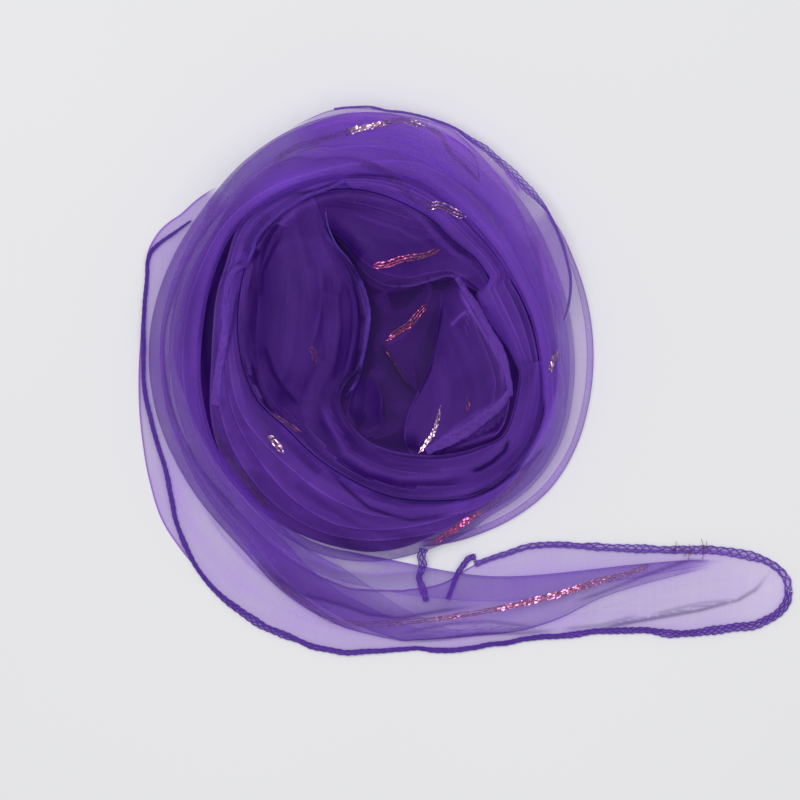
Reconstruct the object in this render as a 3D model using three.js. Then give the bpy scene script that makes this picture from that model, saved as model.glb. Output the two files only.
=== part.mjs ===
// A sheer organza neck scarf, gathered lengthways and coiled on a table, with one end trailing off.
// Millimetres, +Z up. The origin is on the table, under the middle of the scarf's outline.
import * as THREE from 'three';

// ---- driving sizes ---------------------------------------------------------------------------
const wall = 1.2;            // a stretch of cloth, with the fine folds that lie flat in it
const seam = 0.3;            // clear gap between two pieces that touch or are sewn together
const hem = { width: 2.8, height: 1.3 };     // the rolled, overlocked edge
const hemSection = [[-0.5, 0.4], [-0.25, 0.9], [0.25, 0.9], [0.5, 0.4]];   // shares of width and height
const coilCentre = { x: -44.3, y: 22.3 };

const violet = 0x6a3fae;
const deepViolet = 0x4a2390;
const paleViolet = 0xae97d0;
const hemViolet = 0x52289c;

// ---- tables ----------------------------------------------------------------------------------
// The scarf winds clockwise from its trailing end. "wind" is degrees round the coil from the side
// nearest the trailing end, and a distance is from coilCentre. Two lines part the turns from each
// other: the valley inside the outer turn, and the line round the open bud of the inner turn.
const valley = [
  { wind: 0, distance: 100.5 },
  { wind: 15, distance: 97.5 },
  { wind: 30, distance: 91 },
  { wind: 50, distance: 85 },
  { wind: 68, distance: 78 },
  { wind: 90, distance: 72 },
  { wind: 110, distance: 71.5 },
  { wind: 127, distance: 72.5 },
  { wind: 145, distance: 70.5 },
  { wind: 163, distance: 69 },
  { wind: 180, distance: 68.5 },
  { wind: 197, distance: 69.5 },
  { wind: 213, distance: 67 },
  { wind: 232, distance: 66 },
  { wind: 250, distance: 68.5 },
  { wind: 268, distance: 74.5 },
  { wind: 280, distance: 79 },
  { wind: 291, distance: 84.8 },
  { wind: 303, distance: 89.2 },
  { wind: 314, distance: 90.7 },
  { wind: 326, distance: 88.2 },
];
const budLine = [
  { wind: 291, distance: 84.8 },
  { wind: 303, distance: 89.2 },
  { wind: 314, distance: 90.7 },
  { wind: 326, distance: 88.2 },
  { wind: 336, distance: 82.4 },
  { wind: 348, distance: 75.9 },
  { wind: 366, distance: 65.6 },
  { wind: 380, distance: 59.8 },
  { wind: 398, distance: 55 },
  { wind: 416, distance: 56 },
  { wind: 431, distance: 55.6 },
  { wind: 450, distance: 55.4 },
  { wind: 468, distance: 57 },
  { wind: 491, distance: 61.6 },
  { wind: 508, distance: 63 },
  { wind: 520, distance: 63.1 },
  { wind: 532, distance: 61.9 },
  { wind: 556, distance: 57.5 },
  { wind: 572, distance: 55.6 },
  { wind: 585, distance: 54.3 },
  { wind: 599, distance: 57.5 },
  { wind: 610, distance: 58.5 },
];

// The stretches of the winding: the outer edge, the heights of the two feet, and the crown between.
const outerTurn = [
  { wind: 0.1, outer: 137.4, outerFoot: 1.5, innerFoot: 1.5, crown: 10 },
  { wind: 15, outer: 126, outerFoot: 1.5, innerFoot: 2, crown: 14 },
  { wind: 30, outer: 113, outerFoot: 1.5, innerFoot: 6, crown: 18 },
  { wind: 50, outer: 105.5, outerFoot: 1.5, innerFoot: 13, crown: 22 },
  { wind: 68, outer: 101.5, outerFoot: 1.5, innerFoot: 15, crown: 25 },
  { wind: 90, outer: 97, outerFoot: 1.5, innerFoot: 16, crown: 27 },
  { wind: 110, outer: 93, outerFoot: 1.5, innerFoot: 16, crown: 27 },
  { wind: 127, outer: 91.5, outerFoot: 1.5, innerFoot: 16, crown: 28 },
  { wind: 145, outer: 94, outerFoot: 1.5, innerFoot: 16, crown: 29 },
  { wind: 163, outer: 97, outerFoot: 1.5, innerFoot: 16, crown: 30 },
  { wind: 180, outer: 98.5, outerFoot: 1.5, innerFoot: 16, crown: 30 },
  { wind: 197, outer: 97, outerFoot: 1.5, innerFoot: 16, crown: 29 },
  { wind: 213, outer: 93.5, outerFoot: 1.5, innerFoot: 16, crown: 28 },
  { wind: 232, outer: 91.5, outerFoot: 1.5, innerFoot: 16, crown: 27 },
  { wind: 250, outer: 90.5, outerFoot: 1.5, innerFoot: 16, crown: 26 },
  { wind: 268, outer: 93, outerFoot: 1.5, innerFoot: 16, crown: 26 },
  { wind: 285, outer: 97.5, outerFoot: 1.5, innerFoot: 14, crown: 25 },
  { wind: 300, outer: 102, outerFoot: 1.5, innerFoot: 11, crown: 23 },
  { wind: 313, outer: 103, outerFoot: 1.5, innerFoot: 9, crown: 20 },
  { wind: 326, outer: 101, outerFoot: 1.5, innerFoot: 8, crown: 17 },
];
const farSide = 172;                       // wind where the outer turn's two stretches meet
const farSideGap = 0.13;                   // degrees that each of them stops short of it

const secondTurn = [
  { wind: 327, outer: 100.5, outerFoot: 1.5, innerFoot: 13, crown: 19 },
  { wind: 343, outer: 100, outerFoot: 1.5, innerFoot: 15, crown: 22 },
  { wind: 360, outer: 99.6, outerFoot: 1.5, innerFoot: 17, crown: 24 },
  { wind: 375, outer: 96.6, outerFoot: 2.5, innerFoot: 18, crown: 26 },
  { wind: 390, outer: 90, outerFoot: 8, innerFoot: 20, crown: 28 },
  { wind: 405, outer: 84, outerFoot: 14, innerFoot: 20, crown: 29 },
  { wind: 420, outer: 76.5, outerFoot: 17, innerFoot: 20, crown: 29 },
  { wind: 436, outer: 67, outerFoot: 18, innerFoot: 20, crown: 28.5 },
  { wind: 450, outer: 63.6, outerFoot: 18, innerFoot: 20, crown: 28 },
  { wind: 464, outer: 64.2, outerFoot: 18, innerFoot: 20, crown: 28 },
  { wind: 476, outer: 66, outerFoot: 18, innerFoot: 20, crown: 27 },
];

const secondTurnTop = [
  { wind: 492, outer: 71.5, outerFoot: 17, innerFoot: 20, crown: 26 },
  { wind: 510, outer: 69.6, outerFoot: 17, innerFoot: 20, crown: 27 },
  { wind: 530, outer: 68.1, outerFoot: 17, innerFoot: 20, crown: 29 },
  { wind: 550, outer: 68.5, outerFoot: 17, innerFoot: 20, crown: 30 },
  { wind: 570, outer: 66.6, outerFoot: 17, innerFoot: 20, crown: 31 },
  { wind: 590, outer: 65.3, outerFoot: 17, innerFoot: 20, crown: 31 },
  { wind: 608, outer: 67.5, outerFoot: 17, innerFoot: 20, crown: 29 },
];
const rightHollow = [
  { wind: 610.6, outer: 68.2, inner: 52, outerFoot: 17, innerFoot: 19, crown: 28 },
  { wind: 620, outer: 71.3, inner: 53, outerFoot: 17, innerFoot: 19, crown: 28 },
  { wind: 630, outer: 74.8, inner: 58, outerFoot: 16.5, innerFoot: 18, crown: 27 },
  { wind: 639, outer: 78.3, inner: 65.5, outerFoot: 15, innerFoot: 17, crown: 25 },
  { wind: 647, outer: 82.2, inner: 72.5, outerFoot: 14, innerFoot: 16, crown: 23 },
];

// The inner turn opens like a bud round the throat. Its outer edge follows budLine, and bx, by is
// the point across from it on the inner edge; a foot is a height, and rise is how far the cloth
// swells above the line from one foot to the other.
const leftPetal = [
  { wind: 399.5, outerFoot: 23, bx: -55.8, by: -8.6, innerFoot: 23, rise: 15 },
  { wind: 416, outerFoot: 23, bx: -53.0, by: -2.0, innerFoot: 24, rise: 18 },
  { wind: 432, outerFoot: 23, bx: -47.3, by: 5.0, innerFoot: 25, rise: 20 },
  { wind: 450, outerFoot: 23, bx: -44.0, by: 17.0, innerFoot: 25, rise: 21 },
  { wind: 468, outerFoot: 23, bx: -43.6, by: 30.0, innerFoot: 25, rise: 21 },
  { wind: 486, outerFoot: 23, bx: -47.2, by: 43.0, innerFoot: 27, rise: 19 },
  { wind: 503, outerFoot: 23, bx: -54.5, by: 56.0, innerFoot: 29, rise: 16 },
  { wind: 519, outerFoot: 24, bx: -62.0, by: 68.5, innerFoot: 29, rise: 11 },
];

const topFlap = [
  { wind: 525, outerFoot: 24, bx: -51.5, by: 57.0, innerFoot: 32, rise: 11 },
  { wind: 534, outerFoot: 24, bx: -44.5, by: 47.5, innerFoot: 34, rise: 13 },
  { wind: 546, outerFoot: 24, bx: -35.5, by: 41.8, innerFoot: 35, rise: 13 },
  { wind: 560, outerFoot: 24, bx: -24.5, by: 41.2, innerFoot: 35, rise: 12 },
  { wind: 574, outerFoot: 24, bx: -14.0, by: 43.8, innerFoot: 35, rise: 10 },
  { wind: 589, outerFoot: 24, bx: -6.0, by: 45.5, innerFoot: 34, rise: 7 },
  { wind: 608, outerFoot: 25, bx: 6.5, by: 38.5, innerFoot: 31, rise: 4 },
];

const bottomRoll = [
  { wind: 292, outerFoot: 15, bx: 23.2, by: -8.0, innerFoot: 22, rise: 8 },
  { wind: 303, outerFoot: 13, bx: 17.6, by: -24.2, innerFoot: 22, rise: 12 },
  { wind: 314, outerFoot: 13, bx: 6.4, by: -30.0, innerFoot: 22, rise: 14 },
  { wind: 324, outerFoot: 13, bx: -5.0, by: -33.0, innerFoot: 22, rise: 15 },
  { wind: 336, outerFoot: 15, bx: -18.0, by: -33.8, innerFoot: 22, rise: 16 },
  { wind: 349, outerFoot: 17, bx: -32.5, by: -31.8, innerFoot: 22, rise: 16 },
  { wind: 366, outerFoot: 20, bx: -44.0, by: -26.6, innerFoot: 22, rise: 16 },
  { wind: 380, outerFoot: 22, bx: -50.8, by: -19.8, innerFoot: 22, rise: 15 },
  { wind: 398.5, outerFoot: 23, bx: -55.0, by: -11.6, innerFoot: 22, rise: 14 },
];

// Inside the bud both edges are given: a on the rim, b down in the throat.
const rightPetal = [
  { ax: -2.5, ay: 38.5, az: 33, bx: -18.0, by: 34.0, bz: 18.4, rise: 3 },
  { ax: 3.2, ay: 29.0, az: 34, bx: -20.0, by: 22.5, bz: 17.2, rise: 5 },
  { ax: 10.0, ay: 18.5, az: 34, bx: -23.5, by: 9.0, bz: 17.0, rise: 7 },
  { ax: 17.0, ay: 8.5, az: 34, bx: -26.0, by: -4.5, bz: 17.0, rise: 8 },
  { ax: 20.0, ay: -2.5, az: 33, bx: -26.0, by: -15.0, bz: 17.8, rise: 8 },
  { ax: 18.6, ay: -13.5, az: 31, bx: -20.0, by: -23.5, bz: 18.4, rise: 6 },
  { ax: 14.6, ay: -20.8, az: 28, bx: -11.0, by: -28.4, bz: 19, rise: 3 },
];
const throatFold = [
  { ax: -51.5, ay: -14.5, az: 18.4, bx: -32.0, by: -25.5, bz: 18.4, rise: 6 },
  { ax: -46.0, ay: -7.0, az: 18.2, bx: -30.5, by: -17.0, bz: 17.8, rise: 8 },
  { ax: -41.0, ay: 2.0, az: 18.0, bx: -30.0, by: -4.0, bz: 17.6, rise: 8 },
  { ax: -38.4, ay: 13.0, az: 17.8, bx: -28.0, by: 8.0, bz: 17.6, rise: 5 },
];

// Single cloth past the rolls, out to its hem or fold; inner is where it starts, under or beside
// the outer turn.
const lowerSpread = [
  { wind: 0.1, outer: 146.3, inner: 118 },
  { wind: 10, outer: 144.2, inner: 113 },
  { wind: 21, outer: 140, inner: 107 },
  { wind: 28, outer: 137, inner: 103 },
  { wind: 34, outer: 132.4, inner: 100 },
  { wind: 40, outer: 126.4, inner: 98 },
  { wind: 47, outer: 118.6, inner: 97 },
  { wind: 55, outer: 109.8, inner: 95.5 },
  { wind: 65, outer: 105.4, inner: 94 },
  { wind: 78, outer: 102.2, inner: 92 },
  { wind: 90, outer: 100, inner: 90 },
  { wind: 102, outer: 101, inner: 87 },
  { wind: 110, outer: 102.8, inner: 86 },
  { wind: 117, outer: 96.6, inner: 85 },
  { wind: 122, outer: 92.4, inner: 84.5 },
];
const leftBrim = [
  { wind: 37, outer: 131.4 },
  { wind: 43.6, outer: 127.4 },
  { wind: 49.4, outer: 124.4 },
  { wind: 55.3, outer: 118.8 },
  { wind: 61.6, outer: 113.4 },
  { wind: 70.6, outer: 108.4 },
  { wind: 76, outer: 105.4 },
];
const rightBrim = [
  { wind: 238, outer: 98.8, innerFoot: 3 },
  { wind: 251, outer: 99.4, innerFoot: 5 },
  { wind: 262, outer: 101, innerFoot: 8 },
  { wind: 275, outer: 103.4, innerFoot: 9 },
  { wind: 287, outer: 106, innerFoot: 9 },
  { wind: 300, outer: 109, innerFoot: 9 },
  { wind: 311, outer: 110, innerFoot: 9 },
  { wind: 321, outer: 108.2, innerFoot: 8 },
  { wind: 331, outer: 105.4, innerFoot: 6 },
  { wind: 338, outer: 103.4, innerFoot: 4 },
];
const topBrim = [
  { wind: 173, outer: 101.4, outerFoot: 12, innerFoot: 15 },
  { wind: 188, outer: 100.4, outerFoot: 12, innerFoot: 15 },
  { wind: 202, outer: 101.2, outerFoot: 12, innerFoot: 15 },
  { wind: 212, outer: 99.4, outerFoot: 11.5, innerFoot: 15 },
  { wind: 226, outer: 97.4, outerFoot: 11, innerFoot: 14.5 },
  { wind: 236, outer: 98.6, outerFoot: 11, innerFoot: 14.5 },
  { wind: 246, outer: 97.4, outerFoot: 12, innerFoot: 15 },
  { wind: 255, outer: 95.4, outerFoot: 14, innerFoot: 16 },
];

// The trailing end runs along +X; upper and lower are its two long edges, in Y.
const tailSheet = [
  { x: -44.0, upper: -98, lower: -123.9 },
  { x: -28.0, upper: -95, lower: -121.6 },
  { x: -10.0, upper: -92, lower: -122.0 },
  { x: 5.0, upper: -83.5, lower: -120.8 },
  { x: 16.0, upper: -79.5, lower: -119.2 },
  { x: 30.0, upper: -75.4, lower: -117.2 },
  { x: 44.0, upper: -74.4, lower: -115.4 },
  { x: 62.0, upper: -75.6, lower: -113.4 },
  { x: 80.0, upper: -76.4, lower: -113.2 },
  { x: 98.0, upper: -76.8, lower: -114.8 },
  { x: 112.0, upper: -76.8, lower: -113.0 },
  { x: 124.0, upper: -78.4, lower: -111.8 },
  { x: 134.0, upper: -80.8, lower: -109.8 },
  { x: 141.0, upper: -84.6, lower: -106.6 },
  { x: 145.6, upper: -90.0, lower: -101.0 },
];
const tailBand = [
  { x: -43.8, upper: -79.6, lower: -100.5, crown: 8 },
  { x: -28.0, upper: -82.2, lower: -104.5, crown: 8 },
  { x: -10.0, upper: -85.8, lower: -103.4, crown: 7.5 },
  { x: 8.0, upper: -88.4, lower: -101.6, crown: 7 },
  { x: 25.0, upper: -88.6, lower: -99.8, crown: 6.5 },
  { x: 43.0, upper: -87.2, lower: -97.2, crown: 6 },
  { x: 61.0, upper: -85.2, lower: -94.2, crown: 5.5 },
  { x: 79.0, upper: -83.2, lower: -90.8, crown: 5 },
  { x: 98.0, upper: -81.6, lower: -86.6, crown: 4.2 },
];

// Where a loose length of the short hem comes down off the outer turn and goes in under the band.
const droppedHem = [
  { x: -20.4, y: -75.6 },
  { x: -18.4, y: -81 },
  { x: -16.6, y: -88 },
  { x: -18.0, y: -91.5 },
];

// The heap of hidden layers: its reach under the rolls round the coil, and its height from the rim
// in to the throat, where share is of the reach.
const heapReach = [
  { wind: 0, reach: 97 },
  { wind: 30, reach: 89 },
  { wind: 60, reach: 86 },
  { wind: 90, reach: 86 },
  { wind: 120, reach: 82 },
  { wind: 150, reach: 87 },
  { wind: 180, reach: 91 },
  { wind: 210, reach: 86 },
  { wind: 240, reach: 83 },
  { wind: 270, reach: 85 },
  { wind: 300, reach: 93 },
  { wind: 330, reach: 94 },
  { wind: 360, reach: 97 },
];
const heapRim = { layers: 4, height: 12, share: 0.84, bulge: 1.1 };
const heapSlope = [
  { share: 0.76, level: 14 },
  { share: 0.62, level: 16.5 },
  { share: 0.42, level: 17 },
  { share: 0.2, level: 15 },
  { share: 0.0, level: 14 },
];

// ---- helpers ---------------------------------------------------------------------------------
const blend = (from, to, share) => from + (to - from) * share;

// Every column of a table, read at a value of its key column along a smooth cubic. Where the key
// isn't a column the rows count as evenly spaced, and the value runs from 0 to 1.
function readAt(rows, key, value) {
  const last = rows.length - 1;
  const keyOf = (i) => (key in rows[0] ? rows[i][key] : i / last);
  let first = 0;
  while (first < last - 1 && keyOf(first + 1) < value) first += 1;
  const span = keyOf(first + 1) - keyOf(first);
  const t = (value - keyOf(first)) / span;
  const row = {};
  for (const column of Object.keys(rows[0])) {
    const slopeAt = (i) => {
      const [low, high] = [Math.max(i - 1, 0), Math.min(i + 1, last)];
      return span * (rows[high][column] - rows[low][column]) / (keyOf(high) - keyOf(low));
    };
    const [from, to] = [rows[first][column], rows[first + 1][column]];
    const [slopeFrom, slopeTo] = [slopeAt(first), slopeAt(first + 1)];
    row[column] = from + slopeFrom * t + (3 * (to - from) - 2 * slopeFrom - slopeTo) * t ** 2
      + (2 * (from - to) + slopeFrom + slopeTo) * t ** 3;
  }
  return row;
}

// A point at a distance from the coil's centre, at a winding angle.
function onCoil(wind, distance) {
  const angle = THREE.MathUtils.degToRad(-90 - wind);
  return { x: coilCentre.x + distance * Math.cos(angle), y: coilCentre.y + distance * Math.sin(angle) };
}

// The section across a stretch that winds round the coil: its two feet and its swell between them.
function coiledSection({ wind, outer, inner, outerFoot = 0, innerFoot = 0, crown, rise = 0 }) {
  const a = onCoil(wind, outer);
  const b = onCoil(wind, inner);
  const swell = crown === undefined ? rise : crown - (outerFoot + innerFoot) / 2;
  return { ax: a.x, ay: a.y, az: outerFoot, bx: b.x, by: b.y, bz: innerFoot, rise: swell };
}
// The section across a petal of the bud, from the line round the bud to a point on its inner edge.
function petalSection({ wind, outerFoot, bx, by, innerFoot, rise }) {
  const a = onCoil(wind, readAt(budLine, 'wind', wind).distance - seam);
  return { ax: a.x, ay: a.y, az: outerFoot, bx, by, bz: innerFoot, rise };
}
// The section across the trailing end, from its upper edge to its lower one.
function tailSection({ x, upper, lower, foot = 0, crown = foot }) {
  return { ax: x, ay: upper, az: foot, bx: x, by: lower, bz: foot, rise: crown - foot };
}

// A stretch of cloth as a surface of two shares: along its length and across it. Across, it goes
// round half an ellipse from edge to edge and on past both by curl, so that the edges roll under.
// Long soft folds run with it, deepest on the crown and drifting sideways along the length.
function clothSurface(rows, key, section, { curl = 0, folds = 0, foldDepth = 0, drift = 0, from, to } = {}) {
  const first = from ?? rows[0][key] ?? 0;
  const last = to ?? rows[rows.length - 1][key] ?? 1;
  return (along, across) => {
    const { ax, ay, az, bx, by, bz, rise } = section(readAt(rows, key, blend(first, last, along)));
    const turn = Math.PI * blend(-curl, 1 + curl, across);
    const share = (1 - Math.cos(turn)) / 2;
    const tuck = Math.sin(Math.PI * curl);
    const swell = (Math.sin(turn) + tuck) / (1 + tuck);
    const fold = foldDepth * swell ** 2 * Math.cos(2 * Math.PI * (folds * across + drift * along));
    const level = blend(az, bz, share) + rise * swell + fold;
    return new THREE.Vector3(blend(ax, bx, share), blend(ay, by, share), level);
  };
}

// The direction straight out of a surface, on its upper side, from short steps along and across it.
function outOf(surface, along, across) {
  const step = 1e-3;
  const normal = (u, v) => surface(Math.min(u + step, 1), v).sub(surface(Math.max(u - step, 0), v))
    .cross(surface(u, Math.min(v + step, 1)).sub(surface(u, Math.max(v - step, 0)))).normalize();
  return normal(along, across).multiplyScalar(Math.sign(normal(0.5, 0.5).z));
}

// A closed skin from two grids of points, the upper and the lower side of a wall.
function closedWall(upper, lower, along, across) {
  const width = across + 1;
  const positions = [];
  for (const point of [...upper, ...lower]) positions.push(point.x, point.y, point.z);
  const under = upper.length;
  const faces = [];
  const quad = (a, b, c, d) => faces.push(a, b, c, a, c, d);
  for (let i = 0; i < along; i++) {
    for (let j = 0; j < across; j++) {
      const a = i * width + j;
      quad(a, a + width, a + width + 1, a + 1);
      quad(under + a, under + a + 1, under + a + width + 1, under + a + width);
    }
  }
  for (let i = 0; i < along; i++) {
    const near = i * width;
    const far = near + across;
    quad(near, under + near, under + near + width, near + width);
    quad(far, far + width, under + far + width, under + far);
  }
  for (let j = 0; j < across; j++) {
    const start = j;
    const end = along * width + j;
    quad(start, start + 1, under + start + 1, under + start);
    quad(end, under + end, under + end + 1, end + 1);
  }
  return solidFrom(positions, faces);
}

// A closed mesh from its points and faces, turned so that the faces point out.
function solidFrom(positions, faces) {
  const corner = (k) => new THREE.Vector3().fromArray(positions, 3 * faces[k]);
  let volume = 0;
  for (let k = 0; k < faces.length; k += 3) volume += corner(k).dot(corner(k + 1).cross(corner(k + 2))) / 6;
  if (volume < 0) faces.reverse();
  const geometry = new THREE.BufferGeometry();
  geometry.setAttribute('position', new THREE.Float32BufferAttribute(positions, 3));
  geometry.setIndex(faces);
  geometry.computeVertexNormals();
  return geometry;
}

// A stretch as a wall: the surface is its outer side, and the inner side lies a wall's thickness in.
function clothWall(surface, { along, across }) {
  const upper = [];
  const lower = [];
  for (let i = 0; i <= along; i++) {
    for (let j = 0; j <= across; j++) {
      const point = surface(i / along, j / across);
      upper.push(point);
      lower.push(point.clone().addScaledVector(outOf(surface, i / along, j / across), -wall));
    }
  }
  return closedWall(upper, lower, along, across);
}

// Cloth that lies on the table: a wall with a level underside.
function flatCloth(surface, { along, across }) {
  const upper = [];
  const lower = [];
  for (let i = 0; i <= along; i++) {
    for (let j = 0; j <= across; j++) {
      const point = surface(i / along, j / across);
      upper.push(point.clone().setZ(point.z + wall));
      lower.push(point.clone().setZ(0));
    }
  }
  return closedWall(upper, lower, along, across);
}

// A hem along a stretch: a bead on its outer side, made from the points of the stretch moved out.
// start and end are shares of its length, and middle is where the bead lies across it. lift is how
// far the top of the cloth lies above the surface.
function hemOn(surface, { along, start = 0, end = 1, middle, lift = 0 }) {
  const upper = [];
  const lower = [];
  for (let i = 0; i <= along; i++) {
    const u = blend(start, end, i / along);
    const edgeToEdge = surface(u, 0).distanceTo(surface(u, 1));
    for (const [side, height] of hemSection) {
      const v = THREE.MathUtils.clamp(middle + (side * hem.width) / edgeToEdge, 0, 1);
      const out = outOf(surface, u, v);
      lower.push(surface(u, v).addScaledVector(out, lift + seam));
      upper.push(surface(u, v).addScaledVector(out, lift + seam + height * hem.height));
    }
  }
  return closedWall(upper, lower, along, hemSection.length - 1);
}

// A hem that runs flat along a line of points, set in from it to the right of its direction.
function hemAlong(points, { along, from = 0, to = 1, inset }) {
  const line = new THREE.CatmullRomCurve3(points);
  const upper = [];
  const lower = [];
  for (let i = 0; i <= along; i++) {
    const place = line.getPointAt(blend(from, to, i / along));
    const ahead = line.getTangentAt(blend(from, to, i / along));
    const right = new THREE.Vector3(ahead.y, -ahead.x, 0).normalize();
    for (const [side, height] of hemSection) {
      const point = place.clone().addScaledVector(right, inset + side * hem.width);
      lower.push(point);
      upper.push(point.clone().setZ(point.z + height * hem.height));
    }
  }
  return closedWall(upper, lower, along, hemSection.length - 1);
}

// ---- pieces ----------------------------------------------------------------------------------
const scarf = new THREE.Group();

function addPiece(name, geometry, color) {
  const material = new THREE.MeshStandardMaterial({ color, roughness: 0.55, metalness: 0 });
  const mesh = new THREE.Mesh(geometry, material);
  mesh.name = name;
  scarf.add(mesh);
}

// A mound with a level underside, stepped round its rim where folded layers lie one over another.
function hiddenLayers() {
  const sides = 36;
  const stepsPerLayer = 3;
  const steps = heapRim.layers * stepsPerLayer;
  const rings = [];
  for (let step = 0; step < steps; step++) {
    const climb = step / steps;
    const out = heapRim.bulge * Math.sin(Math.PI * ((step % stepsPerLayer) / stepsPerLayer));
    rings.push({ share: blend(1, heapRim.share, climb ** 1.6), level: climb * heapRim.height, out });
  }
  rings.push(...heapSlope.slice(0, -1).map((row) => ({ ...row, out: 0 })));
  const throat = heapSlope[heapSlope.length - 1].level;
  const positions = [coilCentre.x, coilCentre.y, 0];
  for (const ring of rings) {
    for (let k = 0; k < sides; k++) {
      const wind = (360 * k) / sides;
      const { x, y } = onCoil(wind, readAt(heapReach, 'wind', wind).reach * ring.share + ring.out);
      positions.push(x, y, ring.level);
    }
  }
  positions.push(coilCentre.x, coilCentre.y, throat);
  const faces = [];
  const corner = (ring, k) => 1 + ring * sides + (k % sides);
  for (let k = 0; k < sides; k++) {
    faces.push(0, corner(0, k), corner(0, k + 1));
    for (let ring = 0; ring < rings.length - 1; ring++) {
      faces.push(corner(ring, k), corner(ring + 1, k), corner(ring + 1, k + 1));
      faces.push(corner(ring, k), corner(ring + 1, k + 1), corner(ring, k + 1));
    }
    faces.push(corner(rings.length - 1, k), 1 + rings.length * sides, corner(rings.length - 1, k + 1));
  }
  return solidFrom(positions, faces);
}
addPiece('hidden_layers', hiddenLayers(), deepViolet);

// the outer turn, in two stretches that meet on the far side
const insideOuter = (wind) => readAt(wind < budLine[0].wind ? valley : budLine, 'wind', wind).distance;
const outerSection = (row) => coiledSection({ ...row, inner: insideOuter(row.wind) + seam });
const nearFold = { curl: 0.1, folds: 4, foldDepth: 0.9, drift: 1.2 };
const outerLeft = clothSurface(outerTurn, 'wind', outerSection, { ...nearFold, to: farSide - farSideGap });
const outerRight = clothSurface(outerTurn, 'wind', outerSection, { ...nearFold, from: farSide + farSideGap });
addPiece('outer_turn_left', clothWall(outerLeft, { along: 24, across: 12 }), violet);
addPiece('outer_turn_right', clothWall(outerRight, { along: 24, across: 12 }), violet);

// the second turn, which shows below and to the left, and as a narrow stretch round the far side
const besideBud = (row) => coiledSection({ ...row, inner: readAt(budLine, 'wind', row.wind).distance + seam });
const second = clothSurface(secondTurn, 'wind', besideBud, { curl: 0.08, folds: 3, foldDepth: 0.6, drift: 0.8 });
const secondTop = clothSurface(secondTurnTop, 'wind', besideBud, { curl: 0.04 });
const hollow = clothSurface(rightHollow, 'wind', coiledSection, { curl: 0.04 });
addPiece('second_turn', clothWall(second, { along: 20, across: 10 }), violet);
addPiece('second_turn_top', clothWall(secondTop, { along: 16, across: 6 }), deepViolet);
addPiece('second_turn_right', clothWall(hollow, { along: 6, across: 6 }), deepViolet);

// the bud
const petal = clothSurface(leftPetal, 'wind', petalSection, { curl: 0.08, folds: 3, foldDepth: 0.8, drift: 0.5 });
const flap = clothSurface(topFlap, 'wind', petalSection, { curl: 0.05, folds: 2, foldDepth: 0.6, drift: 0.5 });
const bottom = clothSurface(bottomRoll, 'wind', petalSection, { curl: 0.06, folds: 3, foldDepth: 0.6, drift: 0.6 });
const asGiven = (row) => row;
const inside = clothSurface(rightPetal, 'row', asGiven, { folds: 2, foldDepth: 0.8, drift: 0.5 });
const fold = clothSurface(throatFold, 'row', asGiven, { curl: 0.04 });
addPiece('bud_left_petal', clothWall(petal, { along: 14, across: 12 }), violet);
addPiece('bud_top_flap', clothWall(flap, { along: 14, across: 10 }), violet);
addPiece('bud_bottom_roll', clothWall(bottom, { along: 18, across: 10 }), violet);
addPiece('bud_right_petal', clothWall(inside, { along: 10, across: 8 }), violet);
addPiece('throat_fold', clothWall(fold, { along: 6, across: 8 }), deepViolet);

// single cloth round the rolls
const shoulderFall = 0.8;                  // how far the outer turn has leant in at that height
const outerEdge = (wind) => readAt(outerTurn, 'wind', Math.min(wind, outerTurn[outerTurn.length - 1].wind)).outer;
const spread = clothSurface(lowerSpread, 'wind', coiledSection);
const pastHem = (row) => coiledSection({ ...row, inner: readAt(lowerSpread, 'wind', row.wind).outer + 2 * seam });
const brimLeft = clothSurface(leftBrim, 'wind', pastHem);
const leaning = (row) => coiledSection({ ...row, inner: outerEdge(row.wind) + 2 * seam, rise: 2 });
const onShoulder = (row) => coiledSection({ ...row, inner: outerEdge(row.wind) - shoulderFall, rise: 1 });
const brimRight = clothSurface(rightBrim, 'wind', leaning);
const brimTop = clothSurface(topBrim, 'wind', onShoulder);
addPiece('lower_spread', flatCloth(spread, { along: 30, across: 2 }), paleViolet);
addPiece('left_brim', flatCloth(brimLeft, { along: 14, across: 2 }), paleViolet);
addPiece('right_brim', clothWall(brimRight, { along: 20, across: 4 }), paleViolet);
addPiece('top_brim', clothWall(brimTop, { along: 18, across: 3 }), paleViolet);

// the trailing end: one sheet flat on the table, with the gathered band of cloth on it
const tail = clothSurface(tailSheet, 'x', tailSection);
const onTail = (row) => tailSection({ ...row, foot: wall + seam });
const band = clothSurface(tailBand, 'x', onTail, { folds: 3, foldDepth: 0.4 });
addPiece('tail_sheet', flatCloth(tail, { along: 28, across: 4 }), paleViolet);
addPiece('tail_band', clothWall(band, { along: 16, across: 8 }), violet);

// the hems
const tailOutline = [...tailSheet.slice(3).map(({ x, upper }) => [x, upper]),
  ...tailSheet.map(({ x, lower }) => [x, lower]).reverse()].map(([x, y]) => new THREE.Vector3(x, y, wall + seam));
const corner = { share: 0.41, gap: 0.001 };    // share of that outline where the short end turns into the long edge
const overhang = 0.4;                      // how far the hem stands out past the edge of the cloth
const clearOfFold = 0.25;                  // extra room under a hem where the cloth bends across it
const inset = hem.width / 2 - overhang;
const dropped = droppedHem.map(({ x, y }) => new THREE.Vector3(x, y, 0));
addPiece('hem_end', hemAlong(tailOutline, { along: 26, to: corner.share - corner.gap, inset }), hemViolet);
addPiece('hem_tail', hemAlong(tailOutline, { along: 30, from: corner.share + corner.gap, inset }), hemViolet);
addPiece('hem_drop', hemAlong(dropped, { along: 8, inset: 0 }), hemViolet);
addPiece('hem_spread', hemOn(spread, { along: 30, end: 0.97, middle: 0.14, lift: wall }), hemViolet);
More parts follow.
